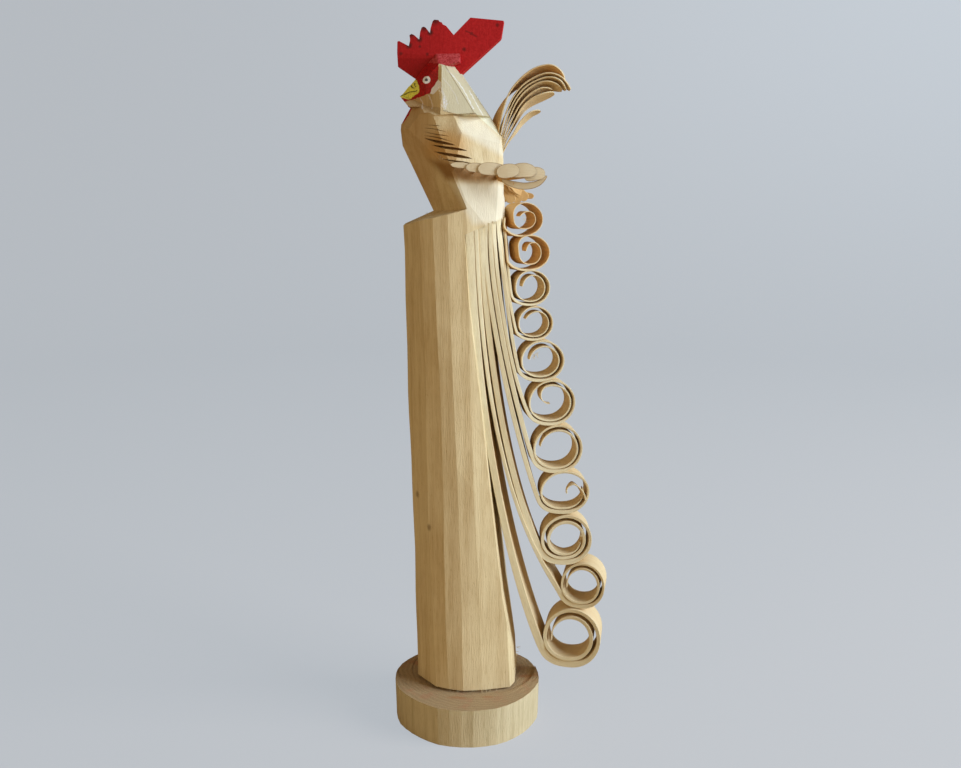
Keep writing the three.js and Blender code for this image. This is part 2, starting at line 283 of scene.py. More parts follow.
CAPE_PATCHES = [
    [(-7.3, 213), (-6.8, 204.6), (-6.1, 197.3), (0, 195.9), (3.9, 196.5), (11, 199), (11, 213)],
    [(2, 213), (2, 197.6), (12.4, 188.9), (14, 213)],
]
BACK_CUT_PLACE = (6.4, 1.9, 199.0)
BACK_CUT_NORMAL = (0.40, 0.72, 0.57)
# shoulder and rump: paler where freshly cut, and a painted highlight where the key light grazes
FRESH_CUT_AND_HIGHLIGHT_PATCHES = [
    [(-1.6, 195.6), (3.6, 196.4), (10.9, 189.2), (12.0, 184.0), (-1.0, 191.0)],
    [(-4.0, 176.0), (14, 176.0), (14, 164.0), (3.0, 164.0)],
]
TORN_OUTLINE = [(-7.4, 203.2), (-6.2, 202.9), (-4.7, 199.8), (-5.4, 197.8), (-7.4, 197.9), (-6.5, 200.4)]
# outline of the painted shadow under the wing
UNDER_WING_SHADOW_OUTLINE = [
    (-10.2, 182.8), (-2.6, 182.2), (14.0, 178.6), (14.0, 176.6), (2.0, 176.4), (-5.6, 177.3),
]
SLITS_MIDDLE = (-5.5, 186.8)
# a dark line of painted shade along the step below the neck feathers
CAPE_STEP_SHADE_LINES = [((-6.1, 197.4), (-2.2, 196.1)), ((-2.2, 196.1), (3.4, 196.5))]
TORN_LINES = [((-7.0, 204.2), (-6.2, 202.2)), ((-6.2, 201.4), (-5.3, 199.4)), ((-7.0, 199.2), (-6.2, 198.4))]
NECK_LINES = [
    ((-6.5, 207.0), (-4.6, 205.0)), ((-4.6, 205.0), (-2.9, 202.4)), ((-2.9, 202.4), (-1.6, 199.4)),
    ((-5.5, 209.7), (-3.0, 207.3)), ((-3.0, 207.3), (-0.9, 204.6)), ((-0.9, 204.6), (1.0, 201.3)),
    ((1.0, 201.3), (2.9, 197.8)), ((1.2, 203.6), (3.9, 199.0)), ((3.9, 199.0), (6.2, 195.0)),
]
CHEEK_LINES = [
    ((-13.9, 201.6), (-13.1, 200.2)), ((-13.1, 200.2), (-12.9, 198.2)),
    ((-11.1, 202.2), (-10.2, 200.8)), ((-10.2, 200.8), (-9.9, 198.3)),
]
BEAK_LINES = [((-20.8, 202.7), (-17.6, 203.7)), ((-17.6, 203.7), (-15.0, 203.9))]
NOSTRIL_LINES = [((-16.9, 205.6), (-16.4, 204.8)), ((-15.9, 206.2), (-15.5, 205.3))]
print(len(NECK_LINES) + len(CHEEK_LINES), "white lines")

# %% [markdown]
# The head paint is one group: it takes the position in millimetres and gives back the mask
# of each colour. Its edges wander a little, as a brush does.

# %% Head paint group
def build_head_paint():
    labels = ("Red", "White", "Lines", "Dark", "Beak", "Crown", "Cape", "Back", "Cape Step Shade")
    tree, w, given, leave = new_group(
        "head_paint", "ShaderNodeTree", [("Position", VECTOR)], [(label, FLOAT) for label in labels],
    )
    place = given["Position"]
    wobble = w.node("ShaderNodeTexNoise", {"Vector": place, "Scale": 0.9, "Detail": 2.0}).outputs["Color"]
    hand = w.vector("ADD", place, w.scaled(w.vector("SUBTRACT", wobble, (0.5, 0.5, 0.5)), 0.7))
    crown, beak = patch(w, hand, CROWN_OUTLINE), patch(w, hand, BEAK_OUTLINE)
    red = w.larger(patch(w, hand, FACE_OUTLINE), crown)
    red = w.minus(w.larger(red, patch(w, hand, COMB_FOOT_OUTLINE)), beak)
    red = w.larger(red, patch(w, hand, WATTLE_OUTLINE))
    from_eye = w.distance(place, (0.0, *EYE), (0.0, 0.78, 0.87))
    ring, pupil = w.ranged(from_eye, 1.06, 0.92), w.ranged(from_eye, 0.48, 0.34)
    torn = w.times(patch(w, hand, TORN_OUTLINE), w.ranged(w.noise(place, 1.7, detail=2.0), 0.62, 0.42))
    white = w.larger(w.larger(ring, patch(w, hand, LOBE_OUTLINE)), w.times(torn, 0.8))
    lines = w.larger(strokes(w, hand, NECK_LINES, 0.2), strokes(w, hand, CHEEK_LINES, 0.3))
    dark = w.larger(strokes(w, hand, BEAK_LINES, 0.22), strokes(w, hand, NOSTRIL_LINES, 0.3))
    parts = w.split(place)
    aside = w.minus(w.math("ABSOLUTE", w.plus(parts["X"], -STICK_SHIFT.x)), -STICK_SHIFT.x)
    from_cut = w.vector("SUBTRACT", w.joined(aside, parts["Y"], parts["Z"]), BACK_CUT_PLACE)
    w.fill(leave, {
        "Red": w.node("ShaderNodeClamp", {"Value": red}).outputs[0],
        "White": white,
        "Lines": w.larger(lines, strokes(w, hand, TORN_LINES, 0.4)),
        "Dark": w.larger(dark, pupil),
        "Beak": beak,
        "Crown": crown,
        "Cape": w.larger(*[patch(w, place, outline) for outline in CAPE_PATCHES]),
        # the back facet, where the wash is painted darker as painted shade
        "Back": w.ranged(w.vector("DOT_PRODUCT", from_cut, BACK_CUT_NORMAL), -0.35, -0.15),
        # dark line of painted shade along the step
        "Cape Step Shade": strokes(w, hand, CAPE_STEP_SHADE_LINES, 0.2),
    })
    return tree


head_paint = build_head_paint()
print("head paint:", len(head_paint.nodes), "nodes")

# %% [markdown]
# ## Materials
# Each material keeps its own shader. Wood takes its colour and small relief from the wood
# group, paint lies over it with a little of the grain still showing, and the shavings read
# their grain along their own length from a stored attribute, because they are bent.

# %% Material helpers
WOOD_LIGHT = (0.74, 0.59, 0.33, 1.0)
WOOD_DARK = (0.50, 0.34, 0.15, 1.0)
# the neck's grey wash: darker on the lit back facet as painted shade, paler on the near flat as painted light
CAPE_WASH_SHADED = (0.50, 0.44, 0.28, 1.0)
CAPE_WASH_LIT = (0.84, 0.82, 0.60, 1.0)
# paler fresh cuts and painted highlight
FRESH_CUT_AND_HIGHLIGHT = (0.80, 0.73, 0.55, 1.0)
# painted shade below the breast
BREAST_SHADE = (0.40, 0.19, 0.05, 1.0)
# warmer and darker round the slits: partly the wood's tint, partly painted shade
SLIT_TINT_AND_SHADE = (0.52, 0.27, 0.07, 1.0)
# painted shadow under the wing
UNDER_WING_SHADOW = (0.30, 0.15, 0.04, 1.0)
RED = (0.52, 0.012, 0.013, 1.0)
RED_DARK = (0.30, 0.006, 0.007, 1.0)
RED_PALE = (0.62, 0.10, 0.10, 1.0)
WHITE = (0.95, 0.96, 1.0, 1.0)
BEAK_YELLOW = (0.95, 0.95, 0.14, 1.0)
BEAK_BROWN = (0.68, 0.62, 0.12, 1.0)
NEAR_BLACK = (0.02, 0.018, 0.015, 1.0)
# brown of the knots, also used for painted shade along the cape's step
KNOT_AND_STEP_SHADE = (0.16, 0.08, 0.03, 1.0)
PAINT_ROUGHNESS = 0.45
# Y and Z of the small dark knots in the post
POST_KNOTS = [(-15.8, 76.9), (-11.3, 67.6)]


def new_material(name):
    """A material with its shader, and the wiring to reach it."""
    material = bpy.data.materials.new(name)
    material.use_nodes = True
    return material, Wiring(material.node_tree), material.node_tree.nodes["Principled BSDF"]


def object_place(w):
    return w.node("ShaderNodeTexCoord").outputs["Object"]


def wood_node(w, vector, light, dark, streaks, fibres, pores):
    return w.node("ShaderNodeGroup", {
        "Vector": vector, "Light": light, "Dark": dark,
        "Streaks": streaks, "Fibres": fibres, "Pores": pores,
    }, node_tree=wood_group).outputs


def coat(w, shader, colour, roughness, height, relief, strength, gloss=0.5):
    """Gives the shader its colour, roughness, gloss and fine relief."""
    bump = w.node("ShaderNodeBump", {"Height": height, "Distance": relief, "Strength": strength})
    w.fill(shader, {
        "Base Color": colour, "Roughness": roughness, "Specular IOR Level": gloss,
        "Normal": bump.outputs["Normal"],
    })


print("material helpers ready")

# %% [markdown]
# The body's wood is pale. Above the lower edge of the neck feathers it is greyer, and this grey is painted
# paler on the near flat and darker on the back facet, as painted light and shade. Paint covers it in the
# order in which a painter works: red, white, dark.

# %% Body material
def build_body_material():
    material, w, shader = new_material("carved_and_painted_wood")
    place = object_place(w)
    wood = wood_node(w, place, WOOD_LIGHT, WOOD_DARK, streaks=0.55, fibres=0.3, pores=0.35)
    spot = w.scaled(place, 1000.0)
    parts = w.split(spot)
    paint = w.node("ShaderNodeGroup", {"Position": spot}, node_tree=head_paint).outputs
    mottle = w.noise(spot, 1.6)
    fresh_and_highlight = w.larger(*[patch(w, spot, outline, 1.3) for outline in FRESH_CUT_AND_HIGHLIGHT_PATCHES])
    # painted shade on the undercut below the breast
    breast = w.times(w.ranged(parts["Y"], -6.5, -13.0), w.ranged(parts["Z"], 167.5, 172.0))
    from_slits = w.distance(spot, (0.0, *SLITS_MIDDLE), (0.0, 1.0, 1.35))
    layers = [
        # paler shoulder and rump: fresh cuts and painted highlight
        (w.times(fresh_and_highlight, 0.7), FRESH_CUT_AND_HIGHLIGHT),
        (w.times(breast, 0.45), BREAST_SHADE),
        # grey wash: painted light on the near flat, painted shade on the back facet
        (w.times(paint["Cape"], 0.8), w.mixed(paint["Back"], CAPE_WASH_LIT, CAPE_WASH_SHADED)),
        # round the slits: partly the wood's tint, partly painted shade under the wing
        (w.times(w.ranged(from_slits, 9.5, 3.0), 0.8), SLIT_TINT_AND_SHADE),
        # painted shadow under the wing
        (w.times(patch(w, spot, UNDER_WING_SHADOW_OUTLINE, 1.4), 0.95), UNDER_WING_SHADOW),
    ]
    for knot_place in POST_KNOTS:
        gap = w.distance(spot, (0.0, *knot_place), (0.0, 1.0, 0.6))
        knot = w.times(w.ranged(gap, 1.0, 0.2), w.ranged(parts["X"], 0.0, 4.0))
        layers.append((w.times(knot, 0.6), KNOT_AND_STEP_SHADE))
    red = w.mixed(w.ranged(mottle, 0.3, 0.7), RED, RED_DARK)
    red = w.mixed(w.times(paint["Crown"], w.ranged(mottle, 0.75, 0.3)), red, RED_PALE)
    layers += [
        (paint["Red"], red),
        (paint["Beak"], w.mixed(w.ranged(mottle, 0.4, 0.7), BEAK_YELLOW, BEAK_BROWN)),
        # painted shade along the step below the neck feathers
        (w.times(paint["Cape Step Shade"], 0.5), KNOT_AND_STEP_SHADE),
        (w.times(paint["Lines"], 0.35), WHITE),
        (paint["White"], WHITE),
        (w.times(paint["Dark"], 0.9), NEAR_BLACK),
    ]
    painted = w.larger(paint["Red"], paint["White"], use_clamp=True)
    rough = w.node("ShaderNodeMix", {
        0: painted, 2: wood["Roughness"], 3: PAINT_ROUGHNESS,
    }, data_type="FLOAT").outputs[0]
    colour = w.layered(wood["Color"], layers)
    coat(w, shader, colour, rough, wood["Height"], relief=0.00006, strength=0.8, gloss=0.2)
    return material


body_material = build_body_material()
print(body_material.name)

# %% [markdown]
# The comb is one flat plate in strong red. Its lower front is darker and the red deepens a little towards the
# front, its points are nearly black, and a few dark flecks lie on it.

# %% Comb material
COMB_LINE_Z = 213.9
COMB_RED, COMB_RED_DEEP = (0.52, 0.018, 0.020, 1.0), (0.44, 0.012, 0.014, 1.0)
COMB_BLACK = (0.035, 0.012, 0.01, 1.0)
# Y, Z and radius in millimetres
FLECKS = [
    (9.4, 223.2, 0.55), (-0.7, 216.2, 0.6), (1.6, 220.8, 0.5), (-20.1, 215.2, 0.5), (-12.0, 214.9, 0.45),
    (-14.3, 217.2, 0.4),
]
FLECK_LINES = [((-0.2, 221.6), (1.2, 221.0)), ((1.2, 221.0), (3.1, 219.9))]
POINT_TIPS = [
    (-16.8, 221.0, 1.6), (-13.0, 223.0, 2.0), (-9.6, 225.2, 2.4), (-17.6, 217.6, 1.4), (-14.4, 219.4, 1.3),
    (-11.1, 221.3, 1.3),
]


def build_comb_material():
    material, w, shader = new_material("red_comb_paint")
    place = w.scaled(object_place(w), 1000.0)
    parts = w.split(place)
    flat = w.vector("MULTIPLY", place, (0.0, 1.0, 1.0))
    mottle = w.noise(place, 1.1, detail=4.0, roughness=0.6)
    low = w.ranged(parts["Z"], COMB_LINE_Z + 0.5, COMB_LINE_Z - 0.5)
    low = w.times(w.times(low, w.ranged(parts["Y"], -8.0, -10.5)), 0.75)
    front = w.times(w.ranged(parts["Y"], -3.0, -14.0), 0.35)
    dark = w.times(strokes(w, place, FLECK_LINES, 0.35), 0.5)
    spots = [(y, z, radius * 1.5, radius * 0.4, 0.6) for y, z, radius in FLECKS]
    spots += [(y, z, radius, 0.3, 0.8) for y, z, radius in POINT_TIPS]
    for y, z, rim, core, share in spots:
        gap = w.vector("LENGTH", w.vector("SUBTRACT", flat, (0.0, y, z)))
        dark = w.larger(dark, w.times(w.ranged(gap, rim, core), share))
    colour = w.layered(COMB_RED, [
        (w.ranged(mottle, 0.35, 0.65), COMB_RED_DEEP), (w.larger(low, front), RED_DARK), (dark, COMB_BLACK),
    ])
    grain = w.noise(w.vector("MULTIPLY", place, (1.0, 1.0, 0.1)), 3.0)
    coat(w, shader, colour, 0.55, w.plus(grain, mottle), relief=0.0001, strength=0.6, gloss=0.15)
    return material


comb_material = build_comb_material()
print(comb_material.name)

# %% [markdown]
# Shavings are the same wood cut thin. Light goes through them a little and bounces inside the rolls, so their
# broad faces are painted warmer than their cut edges, and the rims of the wing slices have darkened. A dark
# line just inside each wing slice's rim is partly that darker wood and partly painted shade of the gap
# beneath. Where each spot lies on its slice is stored with the mesh: across, through its thickness and along,
# how far it faces broadside, and half the slice's width.

# %% Shaving materials
WING_PALE = (0.78, 0.68, 0.46, 1.0)
PALE = (0.70, 0.56, 0.32, 1.0)
PALE_DARK = (0.56, 0.39, 0.18, 1.0)
CREAM = (0.74, 0.635, 0.395, 1.0)
CREAM_DARK = (0.55, 0.41, 0.21, 1.0)
HONEY = (0.74, 0.42, 0.14, 1.0)
UMBER = (0.30, 0.17, 0.07, 1.0)
# a darkened rim with painted shade of the gap beneath each wing slice
RIM_BURR_AND_GAP_SHADE = (0.34, 0.20, 0.08, 1.0)
RIM_BURR_AND_GAP_SHADE_WIDTH = 0.32 * MM


def build_shaving_material(name, light, dark, honey_share, edge=PALE, edge_share=0.0, rim_burr_and_gap_share=0.0):
    material, w, shader = new_material(name)
    grain = w.node("ShaderNodeAttribute", attribute_name="grain").outputs["Vector"]
    broad, half = [
        w.node("ShaderNodeAttribute", attribute_name=label).outputs["Fac"] for label in ("face", "half")
    ]
    wood = wood_node(w, grain, light, dark, streaks=0.35, fibres=0.4, pores=0.2)
    inside = w.minus(half, w.math("ABSOLUTE", w.split(grain)[0]))
    colour = w.layered(wood["Color"], [
        (w.times(broad, honey_share), HONEY),
        (w.times(w.minus(1.0, broad), edge_share), edge),
        # line inside the rim: darker wood and painted shade of the gap
        (w.times(w.ranged(inside, RIM_BURR_AND_GAP_SHADE_WIDTH, 0.5 * RIM_BURR_AND_GAP_SHADE_WIDTH), rim_burr_and_gap_share), RIM_BURR_AND_GAP_SHADE),
    ])
    coat(w, shader, colour, wood["Roughness"], wood["Height"], relief=0.00005, strength=0.7, gloss=0.3)
    return material


shaving_material = build_shaving_material("curled_shaving_wood", PALE, PALE_DARK, 0.7)
wide_material = build_shaving_material("wide_curl_wood", CREAM, CREAM_DARK, 0.32)
wing_material = build_shaving_material(
    "wing_slice_wood", WING_PALE, PALE, 0.12, edge=UMBER, edge_share=0.9, rim_burr_and_gap_share=0.65,
)
# a copy warmer and darker than the plain shavings, for slices in shade: painted shade
shaded_material = build_shaving_material("shaded_slice_wood", PALE, PALE_DARK, 0.85)
plume_material = build_shaving_material("plume_slice_wood", PALE, PALE_DARK, 0.25)
print([m.name for m in (shaving_material, wide_material, wing_material, shaded_material, plume_material)])

# %% [markdown]
# The plinth is a slice of branch. Its rim shows long grain, cut in facets; its top shows
# end grain, which soaks up dirt and looks brown, with fine rings round an off-centre heart.

# %% Plinth materials
RIM_LIGHT, RIM_DARK = (0.64, 0.53, 0.31, 1.0), (0.44, 0.34, 0.17, 1.0)
END_LIGHT, END_DARK = (0.47, 0.32, 0.16, 1.0), (0.29, 0.185, 0.075, 1.0)
STAIN, RUST = (0.44, 0.21, 0.10, 1.0), (0.40, 0.16, 0.05, 1.0)
RING_HEART = (-6.0, 4.0, 0.0)
# X, Y and reach in millimetres
RUSTY_SPOTS = [(15.6, -1.6, 3.0), (-9.0, -18.0, 4.0), (14.6, 8.0, 2.0), (-2.0, 20.5, 3.0)]


def build_rim_material():
    material, w, shader = new_material("plinth_rim_wood")
    wood = wood_node(w, object_place(w), RIM_LIGHT, RIM_DARK, streaks=0.6, fibres=0.35, pores=0.4)
    coat(w, shader, wood["Color"], wood["Roughness"], wood["Height"], relief=0.00008, strength=0.9)
    return material


def build_end_grain_material():
    material, w, shader = new_material("plinth_end_grain")
    place = w.scaled(object_place(w), 1000.0)
    bend = w.noise(place, 0.12, detail=2.0)
    radius = w.plus(w.distance(place, RING_HEART, (1.0, 1.0, 0.0)), w.times(bend, 4.0))
    rings = w.ranged(w.math("SINE", w.times(radius, 4.2)), -1.0, 1.0)
    speckle = w.noise(place, 3.4, roughness=0.7)
    patchy = w.noise(place, 0.22, detail=2.0)
    layers = [
        (w.math("MULTIPLY_ADD", rings, 0.22, w.times(w.ranged(speckle, 0.35, 0.7), 0.5)), END_DARK),
        (w.times(w.ranged(patchy, 0.5, 0.72), 0.5), STAIN),
    ]
    for x, y, reach in RUSTY_SPOTS:
        gap = w.distance(place, (x, y, 0.0), (1.6, 0.6, 0.0))
        layers.append((w.times(w.ranged(gap, reach, 0.2 * reach), 0.55), RUST))
    height = w.math("MULTIPLY_ADD", speckle, 1.0, w.times(rings, 0.25))
    coat(w, shader, w.layered(END_LIGHT, layers), 0.8, height, relief=0.0002, strength=0.7)
    return material


rim_material = build_rim_material()
end_grain_material = build_end_grain_material()
print(rim_material.name, "and", end_grain_material.name)

# %% [markdown]
# ## Mesh tools
# Knife work is flat cuts, so the tools are few: a solid through rings of points, the space
# beyond a set of planes, and a plate with a side outline. Shapes are made in millimetres,
# which keeps the Boolean solver exact, and are brought to metres when they are finished.

# %% Mesh tools
@contextmanager
def opened(mesh):
    """Opens a mesh for editing and writes it back."""
    work = bmesh.new()
    work.from_mesh(mesh)
    yield work
    work.to_mesh(mesh)
    work.free()


def link_mesh(name, points, faces):
    mesh = bpy.data.meshes.new(name)
    mesh.from_pydata([tuple(p) for p in points], [], faces)
    mesh.update()
    return link_object(name, mesh)


def loft(name, rings):
    """A closed solid through rings with the same number of points, lowest ring first."""
    count = len(rings[0])
    points = [p for ring in rings for p in ring]
    faces = [list(range(count))[::-1]]
    for r in range(len(rings) - 1):
        for i in range(count):
            a, b = r * count + i, r * count + (i + 1) % count
            faces.append([a, b, b + count, a + count])
    faces.append([(len(rings) - 1) * count + i for i in range(count)])
    return link_mesh(name, points, faces)


def point_outward(made):
    with opened(made.data) as work:
        bmesh.ops.recalc_face_normals(work, faces=work.faces)
    return made


def plate(name, outline, low, high):
    """The outline of (Y, Z) points, from X = low to X = high."""
    return point_outward(loft(name, [[(x, y, z) for y, z in outline] for x in (low, high)]))


def space_beyond(name, planes):
    """The part of a large box that lies beyond every (point, normal)."""
    mesh = bpy.data.meshes.new(name)
    with opened(mesh) as work:
        bmesh.ops.create_cube(work, size=400, matrix=Matrix.Translation((0, 0, 150)))
        for point, normal in planes:
            parts = work.verts[:] + work.edges[:] + work.faces[:]
            cut = bmesh.ops.bisect_plane(
                work, geom=parts, plane_co=point, plane_no=normal, clear_inner=True,
            )
            rim = [e for e in cut["geom_cut"] if isinstance(e, bmesh.types.BMEdge)]
            bmesh.ops.contextual_create(work, geom=rim)
        bmesh.ops.recalc_face_normals(work, faces=work.faces)
    return link_object(name, mesh)


def finish_modifiers(made):
    """Runs the modifiers of an object and keeps the mesh that they give."""
    graph = bpy.context.evaluated_depsgraph_get()
    mesh = bpy.data.meshes.new_from_object(made.evaluated_get(graph))
    made.modifiers.clear()
    made.data = mesh


def combine(base, tools, operation="DIFFERENCE"):
    """Cuts base with each tool, or keeps the overlap, and removes the tools."""
    for tool in tools:
        step = base.modifiers.new("cut", "BOOLEAN")
        step.operation = operation
        step.solver = "MANIFOLD"
        step.object = tool
    finish_modifiers(base)
    base.data.materials.clear()
    base.data.polygons.foreach_set("material_index", [0] * len(base.data.polygons))
    for tool in tools:
        bpy.data.objects.remove(tool)


ARRIS_FACE_AREA = 1.0
MERGE_GAP = 0.02
FLAT_ANGLE = math.radians(0.6)


def soften_arrises(made, width, angle):
    """Rounds the sharp edges slightly, as use leaves them, and keeps the facets flat."""
    with opened(made.data) as work:
        bmesh.ops.remove_doubles(work, verts=work.verts, dist=MERGE_GAP)
        bmesh.ops.dissolve_limit(
            work, angle_limit=FLAT_ANGLE, verts=work.verts, edges=work.edges, delimit={"MATERIAL"},
        )
    bevel = made.modifiers.new("soft arris", "BEVEL")
    bevel.width = width
    bevel.segments = 2
    bevel.limit_method = "ANGLE"
    bevel.angle_limit = math.radians(angle)
    bevel.use_clamp_overlap = True
    bevel.miter_outer = "MITER_ARC"
    finish_modifiers(made)
    for face in made.data.polygons:
        face.use_smooth = face.area < ARRIS_FACE_AREA


def place_piece(made, node="rooster_carving", shift=STICK_SHIFT):
    """Moves a finished piece to its place, in metres, where it stands for its solid."""
    made.data.transform(Matrix.Translation(shift))
    made.data.transform(Matrix.Scale(MM, 4))
    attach(made, "root")
    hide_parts(node)


print("mesh tools ready")

# %% [markdown]
# ## The plinth
# A slice of branch, trimmed round its side with a knife, so that it is round between a few creases.
# The top was pared in two passes, which left a shallow curved step in front of the post.

# %% Plinth
PLINTH_RADIUS, PLINTH_HEIGHT, PLINTH_SIDES = 24.3, 12.7, 40
PLINTH_WAVER, PLINTH_FLARE = 0.3, 0.3
PLINTH_FRONT_FLAT = -24.33
# degrees and bulge of each crease, how far it spreads, and how deep the flats lie between
PLINTH_CREASES = [
    (-17, 0.34), (-62, 0.3), (32, 0.25), (84, 0.4), (128, 0.35), (170, 0.45), (214, 0.4), (262, 0.4),
]
CREASE_SPREAD = 14
FLAT_DEPTH = 0.4


def plinth_ring(radius, z, lift=0.0):
    """A round that bulges a little at each crease between two flats."""
    ring = []
    for i in range(PLINTH_SIDES):
        degrees = 360 * i / PLINTH_SIDES + 1.0
        reach = radius + PLINTH_WAVER * math.sin(math.radians(3 * degrees + 40)) - FLAT_DEPTH
        for at, bulge in PLINTH_CREASES:
            away = abs((degrees - at + 180) % 360 - 180)
            reach += bulge * max(0.0, 1 - away / CREASE_SPREAD)
        angle = math.radians(degrees)
        y = max(PLINTH_FRONT_FLAT, reach * math.sin(angle))
        ring.append((reach * math.cos(angle), y, z + lift * math.sin(1.7 * i)))
    return ring


def paring_cut(x, y, radius, low, high=14, sides=48):
    turns = [2 * math.pi * i / sides for i in range(sides)]
    ring = [(x + radius * math.cos(turn), y + radius * math.sin(turn)) for turn in turns]
    return loft("paring", [[(*p, z) for p in ring] for z in (low, high)])


plinth = loft("plinth_disc", [
    plinth_ring(PLINTH_RADIUS, 0),
    plinth_ring(PLINTH_RADIUS + 0.3 * PLINTH_FLARE, 4.2, 0.8),
    plinth_ring(PLINTH_RADIUS + PLINTH_FLARE, PLINTH_HEIGHT),
])
combine(plinth, [paring_cut(-5.2, -2.7, 21.8, 12.4), paring_cut(-6.6, 1.4, 21.2, 12.15)])
print("plinth:", len(plinth.data.polygons), "faces")

# %% [markdown]
# The plinth's side keeps a small nick where the knife slipped. Its edges are softened a
# little, as handling does, and its top faces get the end-grain material.

# %% Finish the plinth
NICK = [
    ((22.9, -8.3, 8.4), (0.93, -0.36, 0.0)), ((0, -7.4, 0), (0, -1, 0)),
    ((0, -9.0, 9.4), (0, 0.5, -0.86)), ((0, 0, 7.6), (0, 0, 1)),
]
combine(plinth, [space_beyond("nick", NICK)])
soften_arrises(plinth, 0.28, angle=9.0)
plinth.data.materials.append(rim_material)
plinth.data.materials.append(end_grain_material)
for face in plinth.data.polygons:
    if face.normal.z > 0.8 and face.center.z > 11:
        face.material_index = 1
place_piece(plinth, "plinth", (0, 0, 0))
print("plinth size in m:", [round(v, 4) for v in plinth.dimensions])

# %% [markdown]
# ## The stick
# Post and bird are one piece. The knife left long flats round the stick that wander a
# little, so the rings of the solid are close together and each corner moves in and out by a
# few tenths of a millimetre. The side outline then cuts breast, beak, crown and back.

# %% The stick
FOOT_Z, LEDGE_Z, STICK_TOP_Z = 13.0, 163.0, 228.0
FOOT_CENTRE_Y, LEDGE_CENTRE_Y = 0.3, -4.0
FOOT_DEPTH, LEDGE_DEPTH = 17.7, 16.6
FOOT_WIDTH, LEDGE_WIDTH = 14.9, 14.6
RING_STEP, RING_COUNT = 7.5, 22
WANDER_TOP_Z, WANDER_FADE = 175, 20
# degrees from the front, and reach, of each corner of the section
STICK_EDGES = [
    (17, 1.0), (56, 1.02), (73, 1.01), (89, 1.0), (108, 0.99), (138, 1.1), (168, 1.0),
    (198, 1.0), (226, 1.06), (254, 1.0), (276, 1.0), (300, 1.0), (340, 1.0),
]
BREAST_TOP = (-20.3, 194.3)
CHIN = (-17.4, 199.1)
BEAK_TIP = (-20.7, 202.6)
BEAK_ROOT = (-15.8, 207.4)
CROWN_FRONT = (-10.5, 215.1)
CROWN_BACK = (-1.9, 215.0)
NAPE = (-1.6, 209.3)
SHOULDER = (9.3, 193.2)
PLUME_SEAT = (12.9, 187.0)
RUMP_HOLLOW = [(12.2, 184.6), (11.5, 182.6), (11.1, 179.5), (11.1, 173.0), (12.2, 168.8), (12.4, 166.4)]
SIDE_OUTLINE = [
    (-40, 0), (-40, BREAST_TOP[1] - 0.4), BREAST_TOP, CHIN, BEAK_TIP, BEAK_ROOT, CROWN_FRONT,
    CROWN_BACK, NAPE, SHOULDER, PLUME_SEAT, *RUMP_HOLLOW, (40, 166.4), (40, 0),
]
TAIL_CUT = [(0.6, 160.6), (1.8, 140), (5.3, 109), (8.2, 80), (12.3, 44), (15.6, 24), (16.5, 8)]


def blend(low, high, share):
    return low + (high - low) * share


def stick_ring(z):
    """One many-sided section of the stick; the wander of its corners fades out at the ledge."""
    share = (z - FOOT_Z) / (LEDGE_Z - FOOT_Z)
    depth = blend(FOOT_DEPTH, LEDGE_DEPTH, share)
    width = blend(FOOT_WIDTH, LEDGE_WIDTH, share)
    centre = blend(FOOT_CENTRE_Y, LEDGE_CENTRE_Y, share)
    fade = min(1.0, max(0.0, (WANDER_TOP_Z - z) / WANDER_FADE))
    ring = []
    for i, (angle, part) in enumerate(STICK_EDGES):
        waver = 0.009 * math.sin(0.071 * z + 2.3 * i) + 0.006 * math.sin(0.19 * z + 1.1 * i)
        turn = math.radians(angle + fade * 1.1 * math.sin(0.043 * z + 1.7 * i))
        reach = part * (1.0 + fade * (waver - 0.008))
        ring.append((width * reach * math.sin(turn), centre - depth * reach * math.cos(turn), z))
    return ring


heights = [FOOT_Z + RING_STEP * i for i in range(RING_COUNT)] + [STICK_TOP_Z]
bird = loft("bird_and_post", [stick_ring(z) for z in heights])
combine(bird, [plate("side", SIDE_OUTLINE, -40, 40)], "INTERSECT")
combine(bird, [plate("tail_space", [(60, 165.6), (12.2, 165.6), *TAIL_CUT, (60, 8)], -40, 40)])
print("stick:", len(bird.data.polygons), "faces")

# %% [markdown]
# ## Knife cuts on the bird
# Every facet of breast, ledge, flank, throat, cheek, crown and brow is one flat cut, made
# alike on both sides. A cut is the space beyond a plane, kept inside a few limiting planes,
# and it is mirrored by turning the sign of X.

# %% Facets
def above(z):
    return (0, 0, z), (0, 0, 1)


def below(z):
    return (0, 0, z), (0, 0, -1)


